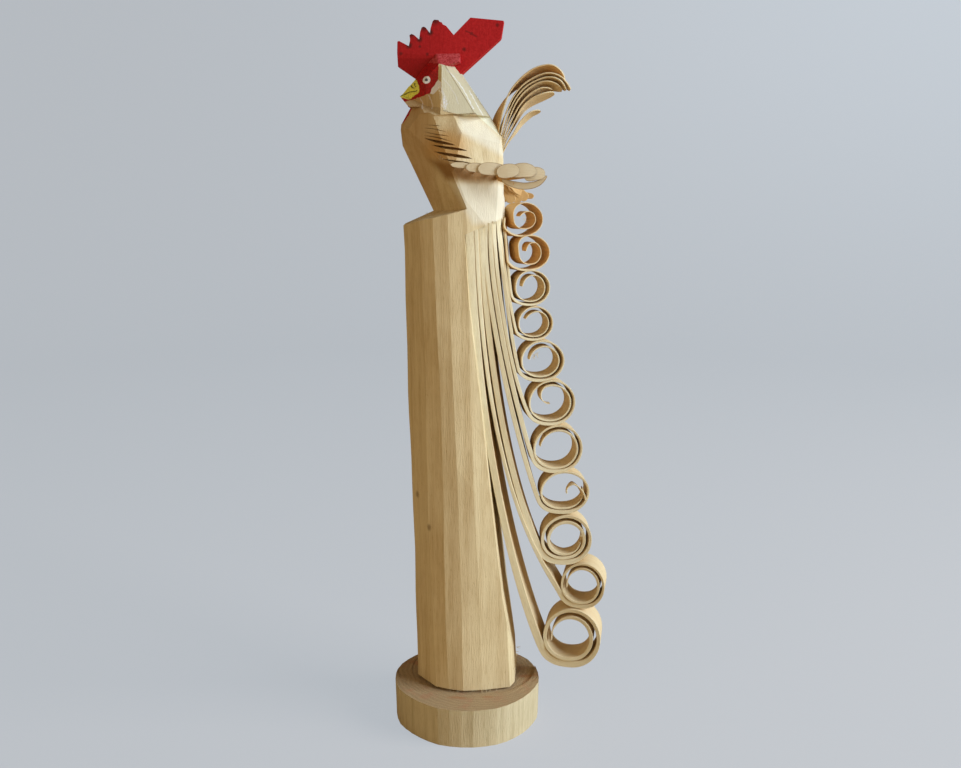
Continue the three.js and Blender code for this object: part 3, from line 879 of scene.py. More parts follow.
SIDE_ONLY = ((-0.02, 0, 0), (1, 0, 0))
CREVICE = (0, -10.7, 167.8)
UNDER_BREAST = (CREVICE, (0.64, -0.71, -0.34))
CHEEK_LIMITS = [((0, -7.0, 0), (0, -1, 0)), ((8.5, 0, 197.3), (0.6, 0, 0.8))]
FACETS = {
    "ledge front": [(CREVICE, (0.13, -0.4, 0.91)), UNDER_BREAST, SIDE_ONLY],
    "ledge side": [(CREVICE, (0.18, -0.24, 0.95)), UNDER_BREAST, SIDE_ONLY],
    "flank": [((10.35, 0, 196), (0.965, 0, 0.26)), above(168.2)],
    "below the cape": [((9.8, 0, 196), (0.965, 0, 0.26)), above(168.2), ((0, -4.0, 196.3), (0, 0.04, -1))],
    "breast side": [((11.97, -6, 190), (0.876, -0.477, 0.06)), above(168), below(196.9)],
    "back": [((9.4, 1.9, 199), (0.40, 0.72, 0.57)), ((0, 0, 212.4), (0, 0.25, -1))],
    "shoulder": [((11.4, -1, 191.0), (0.74, 0.50, 0.45)), below(196.1), above(183)],
    "haunch": [((11.55, -1, 190.7), (0.86, 0.49, 0.14)), below(196.1), above(160)],
    "throat": [((2.4, -17.8, 197), (0.61, -0.7, 0.38)), above(190), below(199)],
    "cheek": [((6.6, -7, 203), (0.98, -0.16, 0.05)), *CHEEK_LIMITS],
    "beak side": [((4.1, -14.5, 203), (0.83, -0.55, 0)), *CHEEK_LIMITS],
    "crown": [((6.2, -5, 211.1), (0.67, 0, 0.74))],
    "brow": [((1.6, -15.8, 207.6), (0.63, -0.59, 0.5)), above(205.5)],
}


def mirrored(planes, side):
    return [((side * p[0], p[1], p[2]), (side * n[0], n[1], n[2])) for p, n in planes]


for label, planes in FACETS.items():
    combine(bird, [space_beyond(label, mirrored(planes, side)) for side in (1, -1)])
print("carved bird:", len(bird.data.polygons), "faces")

# %% [markdown]
# ## Slits where the wing slices part
# In front the thin wing slices are still nested in the flank. Their ends show as fine steps
# like a stack of sheets, and lower down as open slits. Each groove follows the surface of
# the flank, is widest near its middle and closes to nothing at both ends.

# %% Slits and steps
# front end, back end, height and depth of each groove
GROOVES = [
    ((-12.2, 189.5), (-2.1, 186.9), 1.15, 4.0), ((-9.8, 187.4), (1.2, 185.4), 1.15, 4.0),
    ((-9.0, 185.4), (2.6, 183.1), 1.35, 4.0), ((-6.4, 183.1), (2.2, 181.8), 0.8, 2.4),
    ((-12.6, 191.5), (-3.6, 189.5), 0.45, 1.1), ((-12.6, 190.4), (-2.8, 188.2), 0.5, 1.4),
    ((-12.6, 192.6), (-4.2, 191.0), 0.4, 0.9), ((-12.2, 193.7), (-5.0, 192.5), 0.35, 0.7),
]
SIDE_FACETS = ("flank", "breast side", "shoulder", "haunch")
GROOVE_STEPS = 14


def surface_x(y, z):
    """Half the width of the bird's side at a place, as its facets leave it."""
    reach = LEDGE_WIDTH
    for label in SIDE_FACETS:
        point, normal = FACETS[label][0]
        over = normal[1] * (y - point[1]) + normal[2] * (z - point[2])
        reach = min(reach, point[0] - over / normal[0])
    return reach


def groove(start, end, tall, deep, side):
    rings = []
    for i in range(GROOVE_STEPS + 1):
        share = i / GROOVE_STEPS
        y, z = blend(start[0], end[0], share), blend(start[1], end[1], share)
        z += 0.12 * math.sin(5 * share + 3 * start[1])
        open_part = max(0.06, math.sin(math.pi * share ** 1.25) ** 0.6)
        surface = surface_x(y, z)
        inner, outer = side * (surface - deep * open_part), side * (surface + 2.5)
        half = 0.5 * tall * open_part
        corners = ((inner, -0.4), (inner, 0.4), (outer, 1), (outer, -1))
        rings.append([(x, y, z + part * half) for x, part in corners])
    return point_outward(loft("groove", rings))


for side in (1, -1):
    combine(bird, [groove(*row, side) for row in GROOVES])
print("with slits:", len(bird.data.polygons), "faces")

# %% [markdown]
# Handling has taken the sharpness off the arrises of the real bird. A narrow bevel does the
# same, and only its small faces are shaded smooth, so that each cut stays flat.

# %% Soften and place the bird
soften_arrises(bird, 0.22, angle=12.0)
bird.data.materials.append(body_material)
place_piece(bird)
print("bird:", len(bird.data.polygons), "faces after softening")

# %% [markdown]
# ## The comb
# The comb is the thin top of the stick, four saw teeth in front and a long lobe behind. It
# tapers towards its edge. The teeth were cut with a pulled knife, so their fronts are steep
# and their backs long, and the last tooth lost a chip.

# %% Comb
COMB_OUTLINE = [
    (-16.0, 207.9), (-21.2, 211.4), (-21.3, 215.4), (-21.25, 218.7), (-20.8, 219.0), (-20.2, 218.7),
    (-17.7, 217.4), (-17.3, 219.2), (-17.5, 220.6), (-16.9, 221.0), (-16.1, 220.7), (-14.5, 219.3),
    (-14.2, 221.6), (-13.7, 222.9), (-13.1, 223.1), (-12.5, 222.8), (-11.2, 221.2), (-11.0, 222.6),
    (-10.4, 224.6), (-9.9, 225.1), (-8.6, 225.0), (-8.3, 224.5), (-7.6, 224.3), (-7.3, 223.7),
    (-6.2, 223.2), (-3.9, 220.5), (1.2, 225.55), (11.3, 224.45), (11.35, 224.0), (10.6, 219.6),
    (10.3, 219.1), (-1.4, 209.1), (-6, 206),
]
COMB_SIDE_CUTS = [
    [((2.0, 0, 214), (1, 0, 0.09)), above(214)],
    [((2.0, 0, 213.5), (1, -0.02, -0.16)), ((0, -9, 0), (0, -1, 0))],
]
comb = plate("comb", COMB_OUTLINE, -2.0, 2.0)
for side in (1, -1):
    combine(comb, [space_beyond("comb side", mirrored(planes, side)) for planes in COMB_SIDE_CUTS])
soften_arrises(comb, 0.16, angle=15.0)
comb.data.materials.append(comb_material)
place_piece(comb)
print("comb:", len(comb.data.polygons), "faces")

# %% [markdown]
# ## A thin slice along a path
# Tail, wings and plume are all slices that the knife lifted from the stick. They share one
# Geometry Nodes tree. It takes a row of points that carry the slice's width, thickness and
# directions, and wraps a tube with a flat, round-cornered section along them. The tree also
# stores where each spot lies on the slice, so that the wood grain can follow its bend.

# %% The slice tree
SECTION_SIDES, CORNER_POINTS = 12.0, 3.0
CORNER_ROUNDING = 0.14


def finish_tree(w, given, leave, geometry):
    """Ends a tree with plain geometry in the material that was asked for."""
    real = w.node("GeometryNodeRealizeInstances", {"Geometry": geometry}).outputs[0]
    dressed = w.node("GeometryNodeSetMaterial", {"Geometry": real, "Material": given["Material"]})
    w.fill(leave, {"Geometry": dressed.outputs[0]})


def named(w, label, kind):
    return w.node("GeometryNodeInputNamedAttribute", {"Name": label}, data_type=kind).outputs["Attribute"]


def build_slice_tree():
    tree, w, given, leave = new_group("thin_slice", "GeometryNodeTree", [
        ("Geometry", GEOMETRY), ("Edge Waver", FLOAT, 0.1), ("Seed", FLOAT, 0.0), ("Material", MATERIAL),
    ], [("Geometry", GEOMETRY)])
    rail = given["Geometry"]
    stations = w.node("GeometryNodeAttributeDomainSize", {"Geometry": rail}).outputs["Point Count"]
    tube = w.node("GeometryNodeMeshCylinder", {
        "Vertices": int(SECTION_SIDES), "Side Segments": w.minus(stations, 1.0),
        "Radius": 1.0, "Depth": 2.0,
    }, fill_type="NGON").outputs["Mesh"]

    def counted(index, size):
        """How many whole sets of a size come before an index, and its place in its own set."""
        whole = w.math("FLOOR", w.math("DIVIDE", w.plus(index, 0.5), size))
        return whole, w.minus(index, w.times(whole, size))

    row, spoke = counted(w.node("GeometryNodeInputIndex").outputs[0], SECTION_SIDES)
    corner, step = counted(spoke, CORNER_POINTS)
    aim = w.math("MULTIPLY_ADD", corner, math.pi / 2, math.pi / 4)
    turn = w.math("MULTIPLY_ADD", step, math.pi / 4, w.minus(aim, math.pi / 4))

    def at_station(value, kind):
        return w.node("GeometryNodeSampleIndex", {
            "Geometry": rail, "Value": value, "Index": row,
        }, data_type=kind, domain="POINT").outputs["Value"]

    def read(label, kind):
        return at_station(named(w, label, kind), kind)

    centre = at_station(w.node("GeometryNodeInputPosition").outputs[0], "FLOAT_VECTOR")
    across, inward = [read(label, "FLOAT_VECTOR") for label in ("across", "inward")]
    width, thick, bevel, along = [read(label, "FLOAT") for label in ("width", "thick", "bevel", "along")]
    rounding = w.smaller(w.times(thick, 0.35), CORNER_ROUNDING)
    x, y = w.math("SIGN", w.math("COSINE", aim)), w.math("SIGN", w.math("SINE", aim))
    flat_half = w.minus(w.times(thick, 0.5), rounding)
    level = w.math("MULTIPLY_ADD", w.math("SINE", turn), rounding, w.times(y, flat_half))
    depth = w.plus(w.math("DIVIDE", level, thick), 0.5)
    half = w.minus(w.times(width, 0.5), w.times(bevel, depth))
    ragged = w.joined(w.times(along, 0.12), w.times(x, 7.0), given["Seed"])
    waver = w.times(w.minus(w.noise(ragged, 1.6, detail=4.0, roughness=0.6), 0.5), 2.0)
    half = w.math("MULTIPLY_ADD", waver, given["Edge Waver"], half)
    sideways = w.times(x, w.minus(half, rounding))
    sideways = w.math("MULTIPLY_ADD", w.math("COSINE", turn), rounding, sideways)
    inside = w.times(thick, depth)
    spot = w.vector("ADD", w.vector("ADD", centre, w.scaled(across, sideways)), w.scaled(inward, inside))
    mesh = w.node("GeometryNodeSetPosition", {"Geometry": tube, "Position": spot}).outputs[0]
    grain_depth = w.math("MULTIPLY_ADD", inside, MM, given["Seed"])
    for label, kind, value in (
        ("grain", "FLOAT_VECTOR", w.joined(w.times(sideways, MM), grain_depth, w.times(along, MM))),
        ("face", "FLOAT", w.math("POWER", w.math("SINE", turn), 2.0)),
        ("half", "FLOAT", w.times(half, MM)),
    ):
        mesh = w.node("GeometryNodeStoreNamedAttribute", {
            "Geometry": mesh, "Name": label, "Value": value,
        }, data_type=kind, domain="POINT").outputs[0]
    finish_tree(w, given, leave, w.node("GeometryNodeSetShadeSmooth", {"Geometry": mesh}).outputs[0])
    return tree


slice_tree = build_slice_tree()
print("slice tree:", len(slice_tree.nodes), "nodes")

# %% [markdown]
# A slice's points are made in Python, where a path is easy to write down. The helper turns
# them into a mesh of loose points with attributes, runs the tree and keeps the plain mesh.
# Inputs of the modifier are set by their socket identifiers.

# %% Slice maker
def store_numbers(made, label, values):
    made.data.attributes.new(label, "FLOAT", "POINT").data.foreach_set("value", values)


def store_vectors(made, label, vectors):
    layer = made.data.attributes.new(label, "FLOAT_VECTOR", "POINT")
    layer.data.foreach_set("vector", [c for v in vectors for c in v])


def run_tree(made, tree, values):
    """Runs a Geometry Nodes tree on an object and keeps the result as its mesh."""
    step = made.modifiers.new("nodes", "NODES")
    step.node_group = tree
    for item in tree.interface.items_tree:
        if item.in_out == "INPUT" and item.name in values:
            step[item.identifier] = values[item.name]
    finish_modifiers(made)
    point_outward(made)


def thin_slice(name, stations, material, *, waver, seed):
    """One slice through stations of (centre, across, inward, width, thick, bevel)."""
    centres, across, inward, *numbers = zip(*stations)
    rail = link_mesh(name, centres, [])
    gaps = [(b - a).length for a, b in zip(centres, centres[1:])]
    store_vectors(rail, "across", across)
    store_vectors(rail, "inward", inward)
    for label, values in zip(("width", "thick", "bevel", "along"), [*numbers, [0.0, *accumulate(gaps)]]):
        store_numbers(rail, label, values)
    run_tree(rail, slice_tree, {"Edge Waver": waver, "Seed": seed, "Material": material})
    rail.data.set_sharp_from_angle(angle=math.radians(20.0))
    return rail


def station(centre, across, along, width, thick, bevel):
    return centre, across, across.cross(along).normalized(), width, thick, bevel


def level_across(angle):
    """The level direction across a slice that is turned by an angle."""
    return Vector((math.cos(angle), math.sin(angle), 0))


def smooth(low, high, value):
    share = min(1.0, max(0.0, (value - low) / (high - low)))
    return share * share * (3 - 2 * share)


def rounded_end(share, length, least):
    """How a slice narrows over the last part of its length."""
    ending = max(0.0, (share - (1 - length)) / length)
    return math.sqrt(max(least, 1 - ending * ending))


def bezier(points, share):
    """A point and its direction on a Bezier curve of any degree."""
    rows = [list(points)]
    while len(rows[-1]) > 1:
        last = rows[-1]
        rows.append([a.lerp(b, share) for a, b in zip(last, last[1:])])
    return rows[-1][0], (rows[-2][1] - rows[-2][0]).normalized()


def through(points, share):
    """A point and its direction on a smooth curve that passes through all the points."""
    last = len(points) - 1
    place = min(share * last, last - 1e-6)
    i = int(place)
    t = place - i
    a, b, c, d = points[max(i - 1, 0)], points[i], points[i + 1], points[min(i + 2, last)]
    bend, twist = 2 * a - 5 * b + 4 * c - d, 3 * b - a - 3 * c + d
    at = b + 0.5 * ((c - a) * t + bend * t ** 2 + twist * t ** 3)
    return at, (0.5 * (c - a) + bend * t + 1.5 * twist * t ** 2).normalized()


def walk(path, steps):
    """Share, place and direction at each step of a smooth path."""
    points = [Vector(p) for p in path]
    return [(i / steps, *through(points, i / steps)) for i in range(steps + 1)]


print("slice maker ready")

# %% [markdown]
# ## The tail
# Eleven shavings start together under the rump and hang down the back. The knife rolled
# each one up, tighter and thinner towards its end, and the curls lie one under the other.
# One row of numbers for each shaving describes its roll, another its strip from the rump.

# %% Tail numbers
CURL_START = 206.0
LAYER_AIR = 0.18
SECOND_TURN_SHIFT = 0.28
# centre Y and Z, half height and breadth, yaw, width, band thickness, turns,
# how much the second turn is narrower and lower, and how far the tip hooks in
ROLLS = [
    (17.9, 165.1, 5.35, 6.75, 27, 8, 0.55, 1.83, 2.6, 1.7, 1.0),
    (19.6, 154.8, 5.65, 7.3, 25, 8, 0.70, 1.88, 3.0, 1.2, 1.5),
    (20.4, 143.9, 5.65, 6.4, 20, 8, 0.80, 1.90, 1.0, 0.4, 1.3),
    (21.7, 132.7, 5.5, 6.1, 17, 8, 0.85, 1.85, 0.6, 0.3, 0.9),
    (24.0, 120.8, 6.65, 7.5, 14, 9, 1.05, 1.90, 0.7, 0.4, 1.4),
    (27.4, 107.4, 7.4, 7.7, 13, 9, 1.15, 2.02, 0.2, 0.2, 5.2),
    (29.6, 92.3, 7.95, 8.0, 10, 9, 1.40, 1.90, 0.0, 0.0, 0.6),
    (31.8, 77.9, 7.15, 8.2, 8, 9, 1.35, 1.47, 0.3, 0.2, 0.3),
    (32.7, 61.9, 8.45, 8.3, 5, 9, 2.00, 2.40, 0.0, 0.0, 0.4),
    (38.2, 46.5, 7.85, 7.2, -6, 10, 1.60, 1.95, 0.0, 0.0, 0.2),
    (34.9, 28.3, 10.25, 9.5, -5, 11, 2.50, 1.95, 0.0, 0.0, 0.2),
]
# root Y and Z, how far the first handle goes back and down, length of the last handle,
# thickness at the root and half way
STRIPS = [
    (11.9, 166.0, 0.0, -4.0, 1.0, 0.30, 0.6),
    (11.6, 165.8, 0.6, 1.5, 1.2, 0.27, 0.7),
    (11.2, 165.7, 1.6, 9.0, 1.8, 0.37, 0.8),
    (10.6, 165.4, -0.8, 3.2, 2.6, 0.57, 0.95),
    (9.9, 165.1, -0.3, 4.5, 3.6, 0.67, 1.1),
    (8.8, 164.6, -0.9, 5.8, 15.7, 1.07, 1.1),
    (7.5, 164.1, -1.2, 23.5, 5.9, 1.27, 1.5),
    (6.2, 163.5, -2.5, 23.5, 7.0, 1.27, 1.5),
    (4.6, 162.8, 0.2, 27.0, 30.3, 1.55, 1.8),
    (3.3, 162.3, 1.9, 84.9, 9.6, 1.27, 1.1),
    (0.7, 161.6, 2.2, 78.0, 11.1, 2.55, 2.2),
]
for upper, lower in zip(ROLLS, ROLLS[1:]):
    gap = math.dist(upper[:2], lower[:2]) - upper[2] - lower[2]
    print("rolls at heights", upper[1], "and", lower[1], "mm lie", round(gap, 2), "mm apart")

# %% [markdown]
# Each shaving's near edge runs down a long soft curve from the rump to the roll and then
# round a spiral. Every turn lies against the one before with a little air. The second turn
# is narrower and lower, as in the real rolls, and the tip hooks in. At the rump the slice
# is as wide as the stick, so the slits begin as fine lines.

# %% Tail shavings
STRIP_STEPS, STEPS_A_TURN = 40, 44
SLIT_LINE_Z = 162.0
FIRST_WIDE_CURL = 3
EDGE_BEVEL = 0.15
# degrees round the spiral between which it settles, thins, tightens and clears the turn before
SETTLING, THINNING, TIGHTENING = (206, 270), (230, 360), (430, 545)
CLEARING_FIRST, CLEARING_SECOND = (545, 640), (905, 1000)
HOOK_DEGREES, TIP_DEGREES = 110, 120
TIP_THICKNESS, TIP_BREADTH = 0.3, 3.0


def side_x(y, z, side):
    """Where the stick's side lies at a given Y and height, before any tail was cut."""
    ring = stick_ring(z)
    reach = 0.0
    for a, b in zip(ring, ring[1:] + ring[:1]):
        if (a[1] - y) * (b[1] - y) <= 0 and a[1] != b[1]:
            x = blend(a[0], b[0], (y - a[1]) / (b[1] - a[1]))
            reach = max(reach, side * x)
    return side * reach


def curl_point(roll, share):
    """Near edge, across, ahead, breadth and thickness at a share of a roll's spiral."""
    middle_y, middle_z, high, broad, yaw_degrees, width, band, turns, narrower, lower, hook = roll
    degrees, last = CURL_START + 360 * turns * share, CURL_START + 360 * turns
    shrink = (0.9 * band + LAYER_AIR) * smooth(*CLEARING_FIRST, degrees)
    shrink -= 0.9 * band * (1 - smooth(*SETTLING, degrees))
    hooked = hook * smooth(last - HOOK_DEGREES, last, degrees)
    shrink += (0.5 * band + LAYER_AIR) * smooth(*CLEARING_SECOND, degrees) + hooked
    tight = smooth(*TIGHTENING, degrees)
    broad, high = broad - shrink - narrower * tight, high - shrink - lower * tight
    middle_y += SECOND_TURN_SHIFT * narrower * tight
    yaw, turn = math.radians(yaw_degrees), math.radians(degrees)
    out, up = broad * math.cos(turn), high * math.sin(turn)
    near = Vector((
        width / 2 * math.cos(yaw) - out * math.sin(yaw), middle_y + out * math.cos(yaw), middle_z + up,
    ))
    ahead = Vector((0, -broad * math.sin(turn), high * math.cos(turn))).normalized()
    thick = band * (1 - 0.5 * smooth(*THINNING, degrees))
    thick = blend(thick, TIP_THICKNESS, smooth(last - TIP_DEGREES, last, degrees))
    return near, level_across(yaw), ahead, blend(width, TIP_BREADTH, share ** 6), thick


def shaving_stations(roll, strip):
    width, band, turns = roll[5:8]
    root_y, root_z, handle_y, handle_z, handle_end, root_thick, middle_thick = strip
    start, across_end, ahead, _, _ = curl_point(roll, 0.0)
    sides = [side_x(root_y, SLIT_LINE_Z, side) for side in (1, -1)]
    inner = side_x(min(root_y + root_thick, 12.2), SLIT_LINE_Z, 1)
    end, ahead = Vector((0, start.y, start.z)), Vector((0, ahead.y, ahead.z))
    handle = Vector((0, root_y + handle_y, SLIT_LINE_Z - handle_z))
    path = [Vector((0, root_y, root_z)), handle, end - ahead * handle_end, end]
    yaw = math.atan2(across_end.y, across_end.x)
    stations = []
    for i in range(STRIP_STEPS):
        share = i / STRIP_STEPS
        spread = math.sqrt(share)
        at, along = bezier(path, share)
        across = level_across(yaw * share * share)
        breadth = blend(sides[0] - sides[1], width, spread)
        near = at + Vector((blend(sides[0], start.x, spread), 0, 0))
        thick = blend(root_thick, middle_thick, smooth(0, 0.3, share))
        thick = blend(thick, band, smooth(0.5, 1, share))
        bevel = blend(max(0.02, sides[0] - inner), EDGE_BEVEL * thick, smooth(0, 0.4, share))
        stations.append(station(near - across * (breadth / 2), across, along, breadth, thick, bevel))
    steps = round(STEPS_A_TURN * turns)
    for i in range(steps + 1):
        near, across, ahead, breadth, thick = curl_point(roll, i / steps)
        bevel = EDGE_BEVEL * thick
        stations.append(station(near - across * (breadth / 2), across, ahead, breadth, thick, bevel))
    return stations


tail = []
for number, (roll, strip) in enumerate(zip(ROLLS, STRIPS), 1):
    wood = shaving_material if number < FIRST_WIDE_CURL else wide_material
    stations = shaving_stations(roll, strip)
    tail.append(thin_slice(f"tail_shaving_{number:02d}", stations, wood, waver=0.12, seed=number * 0.37))
print("tail:", sum(len(s.data.polygons) for s in tail), "faces in", len(tail), "shavings")

# %% [markdown]
# One roll ends in a narrow tongue that springs away from the turn before it, where the last
# fibres tore. The tongue is a short slice of its own, from the roll to its tip.

# %% Tongue at the end of a roll
TONGUE_PATH = [
    (39.0, 75.6), (38.4, 77.6), (37.2, 79.4), (35.2, 80.8), (33.6, 80.4), (32.5, 79.1), (32.5, 77.6),
]
TONGUE_NEAR_X, TONGUE_WIDTH, TONGUE_THICKNESS = 4.2, 5.0, 0.42
TONGUE_STEPS = 24
SLICE_BEVEL = 0.05
tongue_across = level_across(math.radians(16))
tongue = []
for share, at, along in walk([(TONGUE_NEAR_X, y, z) for y, z in TONGUE_PATH], TONGUE_STEPS):
    width = blend(TONGUE_WIDTH, 0.2 * TONGUE_WIDTH, smooth(0.3, 0.9, share))
    centre = at - tongue_across * (width / 2)
    tongue.append(station(centre, tongue_across, along, width, TONGUE_THICKNESS, SLICE_BEVEL))
tail.append(thin_slice("tail_tongue", tongue, wide_material, waver=0.08, seed=20.0))
print("tongue:", len(tail[-1].data.polygons), "faces")

# %% [markdown]
# ## Wings
# Each wing is a fan of thin slices with a narrow neck and a broad rounded blade. They leave
# the flank together, turn outward and back, and lie over each other like scales. The far
# wing has sunk a little and shows its shaded inner faces.

# %% Wings
BLADE_THICKNESS = 0.4
SCALE_RIM, BLADE_RIM = 0.17, 0.06
NECK_WIDTH = 1.0
SCALE_STEPS, NECK_STEPS, BLADE_STEPS = 24, 12, 28
# points from the shoulder to the tip, and the width of the blade
NEAR_BLADES = [
    ([(15.3, -3.4, 181.3), (15.2, 0.2, 181.1), (15.0, 3.4, 180.7)], 2.0),
    ([(15.7, 1.3, 180.5), (15.5, 4.4, 180.4), (15.2, 7.6, 180.0)], 3.0),
    ([(16.0, 4.9, 180.0), (15.8, 8.8, 180.0), (15.3, 13.4, 179.5)], 4.0),
    ([(16.4, 10.5, 178.7), (16.3, 13.8, 179.4), (16.1, 17.1, 179.5)], 4.4),
    ([(15.4, 13.9, 179.0), (15.5, 18.3, 179.6), (15.4, 22.0, 179.0)], 4.5),
    ([(14.7, 18.4, 177.6), (14.8, 21.6, 178.6), (14.7, 24.7, 178.3)], 4.2),
    ([
        (13.0, 11.6, 176.9), (14.0, 15.0, 175.6), (14.4, 18.8, 175.0), (14.6, 22.6, 175.8),
        (14.6, 25.2, 178.0),
    ], 2.2),
]
# points from the flank to the underside of a blade
NEAR_NECKS = [
    [(9.0, -5.0, 181.9), (13.0, -3.6, 181.6), (15.1, -0.8, 181.1)],
    [(9.0, -1.6, 180.9), (13.0, 0.6, 180.7), (15.2, 3.6, 180.4)],
    [(9.0, 2.6, 179.6), (13.2, 4.6, 179.7), (15.5, 7.6, 179.9)],
    [(8.6, 7.2, 178.9), (13.0, 10.2, 179.0), (15.7, 13.2, 179.3)],
    [(7.6, 9.6, 178.3), (12.0, 12.6, 178.4), (15.1, 17.0, 179.0)],
    [(7.6, 9.8, 177.8), (11.6, 13.4, 177.3), (14.5, 19.6, 177.9)],
    [(7.6, 10.0, 177.6), (11.0, 11.2, 176.9), (14.1, 15.4, 175.7)],
]
# points from the flank to the tip, the width of the blade, and how far its neck goes
FAR_BLADES = [
    ([(-12.6, -5.5, 180.3), (-14.9, -3.2, 178.4), (-15.6, -1.0, 177.0), (-14.8, 2.6, 174.4)], 2.4, 0.28),
    ([(-13.2, -1.3, 179.8), (-15.8, 0.8, 177.6), (-16.2, 2.8, 175.8), (-15.0, 5.4, 173.0)], 2.8, 0.30),
    ([(-13.0, 2.3, 179.4), (-16.2, 4.6, 176.9), (-16.2, 6.0, 174.8), (-14.8, 8.2, 171.4)], 3.2, 0.30),
    ([(-11.0, 7.0, 178.9), (-14.4, 8.4, 176.6), (-14.9, 9.6, 174.4), (-13.8, 10.9, 170.6)], 3.4, 0.26),
    ([(-9.6, 9.0, 178.6), (-13.2, 10.4, 176.4), (-14.2, 11.8, 174.2), (-13.3, 13.4, 170.4)], 3.5, 0.26),
    ([(-9.4, 9.4, 178.2), (-12.6, 11.4, 176.4), (-14.2, 13.6, 174.0), (-13.5, 15.9, 170.6)], 3.5, 0.28),
    ([(-9.2, 9.7, 177.8), (-12.2, 12.4, 176.4), (-14.0, 15.4, 174.0), (-13.7, 18.2, 171.3)], 3.2, 0.32),
    ([(-9.0, 9.9, 177.4), (-12.2, 13.0, 175.6), (-14.2, 16.8, 173.2), (-13.8, 20.4, 172.3)], 2.0, 0.38),
]
FACING = Vector((1, 0, 0.2))
SHOULDER_SHARE = 0.42
TIP_SHARE = 0.5


def scale_width(full, share):
    """A scale has a rounded shoulder and a rounded tip."""
    shoulder = max(0.0, 1 - share / SHOULDER_SHARE)
    tip = max(0.0, (share - 1 + TIP_SHARE) / TIP_SHARE)
    return full * math.sqrt(max(0.02, 1 - max(shoulder, tip) ** 2))


def neck_width(share):
    return NECK_WIDTH


def blade_width(full, neck, share):
    """A far blade widens quickly after its neck and is round at its end."""
    width = blend(NECK_WIDTH, full, math.sqrt(smooth(neck, neck + 0.12, share)))
    return width * rounded_end(share, 0.16, 0.1)


wings = []


def add_wing_slice(name, path, steps, width_at, material, seed, rim=BLADE_RIM):
    stations = []
    for share, at, along in walk(path, steps):
        across = FACING.cross(along).normalized()
        stations.append(station(at, across, along, width_at(share), BLADE_THICKNESS, rim))
    wings.append(thin_slice(name, stations, material, waver=0.06, seed=seed))


for number, ((path, full), neck) in enumerate(zip(NEAR_BLADES, NEAR_NECKS), 1):
    seed = 5 + number * 0.41
    width_at = partial(scale_width, full)
    add_wing_slice(f"near_wing_slice_{number}", path, SCALE_STEPS, width_at, wing_material, seed, SCALE_RIM)
    add_wing_slice(f"near_wing_neck_{number}", neck, NECK_STEPS, neck_width, shaded_material, seed)
for number, (path, full, neck) in enumerate(FAR_BLADES, 1):
    width_at = partial(blade_width, full, neck)
    seed = 5 + number * 0.41
    add_wing_slice(f"far_wing_slice_{number}", path, BLADE_STEPS, width_at, shaded_material, seed)
print("wings:", len(wings), "slices")

# %% [markdown]
# ## Plume
# Seven slices of the back are bent up and over. They twist as they rise: low down the brown
# outer face of the first one shows, near the tip its shaded underside. Each row follows the
# near edge of a slice.

# %% Plume
PLUME_PATHS = [
    [
        (9.9, 182.8), (10.4, 190.0), (11.5, 197.0), (14.1, 203.8), (19.5, 209.2), (24.9, 211.0),
        (28.6, 209.7), (31.0, 207.4),
    ],
    [
        (10.2, 182.6), (10.8, 189.6), (12.3, 196.2), (14.8, 201.8), (18.4, 205.8), (24.0, 208.4),
        (28.6, 207.7), (32.1, 204.6),
    ],
    [
        (10.5, 182.4), (11.3, 189.4), (13.0, 196.0), (15.5, 201.4), (19.2, 205.2), (24.4, 207.3),
        (28.3, 206.7), (30.7, 204.5),
    ],
    [
        (10.8, 184.0), (11.8, 189.6), (13.4, 195.0), (15.7, 200.2), (18.7, 203.7), (22.6, 205.9),
        (26.2, 206.1), (29.5, 204.9),
    ],
    [(11.0, 184.8), (12.2, 189.4), (14.1, 194.6), (16.6, 199.3), (19.6, 202.5), (22.9, 204.3), (26.2, 204.7)],
    [(11.2, 185.2), (12.5, 189.0), (14.7, 193.6), (17.2, 198.5), (20.2, 201.2), (23.5, 202.7), (26.7, 203.7)],
    [(11.4, 185.4), (12.9, 188.2), (14.8, 191.2), (16.9, 194.7), (19.6, 197.2), (22.6, 198.3)],
]
# width, thickness, twist in degrees at the foot and at the tip
PLUME_SHAPES = [
    (9.0, 0.45, 24, -26), (8.8, 0.42, 8, -10), (8.6, 0.40, 5, -9), (8.4, 0.40, 6, -14),
    (8.2, 0.38, 5, -12), (7.8, 0.38, 4, -10), (6.5, 0.32, 3, -8),
]
PLUME_STEPS = 40


def plume_stations(path, full, thick, foot_twist, tip_twist):
    sideways = Vector((1, 0, 0))
    stations = []
    for share, at, along in walk([(0, y, z) for y, z in path], PLUME_STEPS):
        twist = math.radians(blend(foot_twist, tip_twist, smooth(0.15, 0.75, share)))
        across = sideways * math.cos(twist) + along.cross(sideways) * math.sin(twist)
        width = full * blend(0.8, 1.0, smooth(0, 0.3, share)) * rounded_end(share, 0.25, 0.08)
        near = at + Vector((full / 2 * math.cos(twist), 0, 0))
        stations.append(station(near - across * (full / 2), across, along, width, thick, SLICE_BEVEL))
    return stations


plume = []
for number, (path, shape) in enumerate(zip(PLUME_PATHS, PLUME_SHAPES), 1):
    material = shaving_material if number == 1 else plume_material
    stations = plume_stations(path, *shape)
    seed = 11 + number * 0.53
    plume.append(thin_slice(f"plume_slice_{number}", stations, material, waver=0.08, seed=seed))
print("plume:", len(plume), "slices")

# %% [markdown]
# ## Loose fibres
# Knife work on fresh wood leaves fuzz: short curled fibres round the foot of the post, in the
# notch, at the slits and on the tips of the shavings. One curved hair with three sides is
# set on each of a few hundred points, aimed along a direction that the point carries.

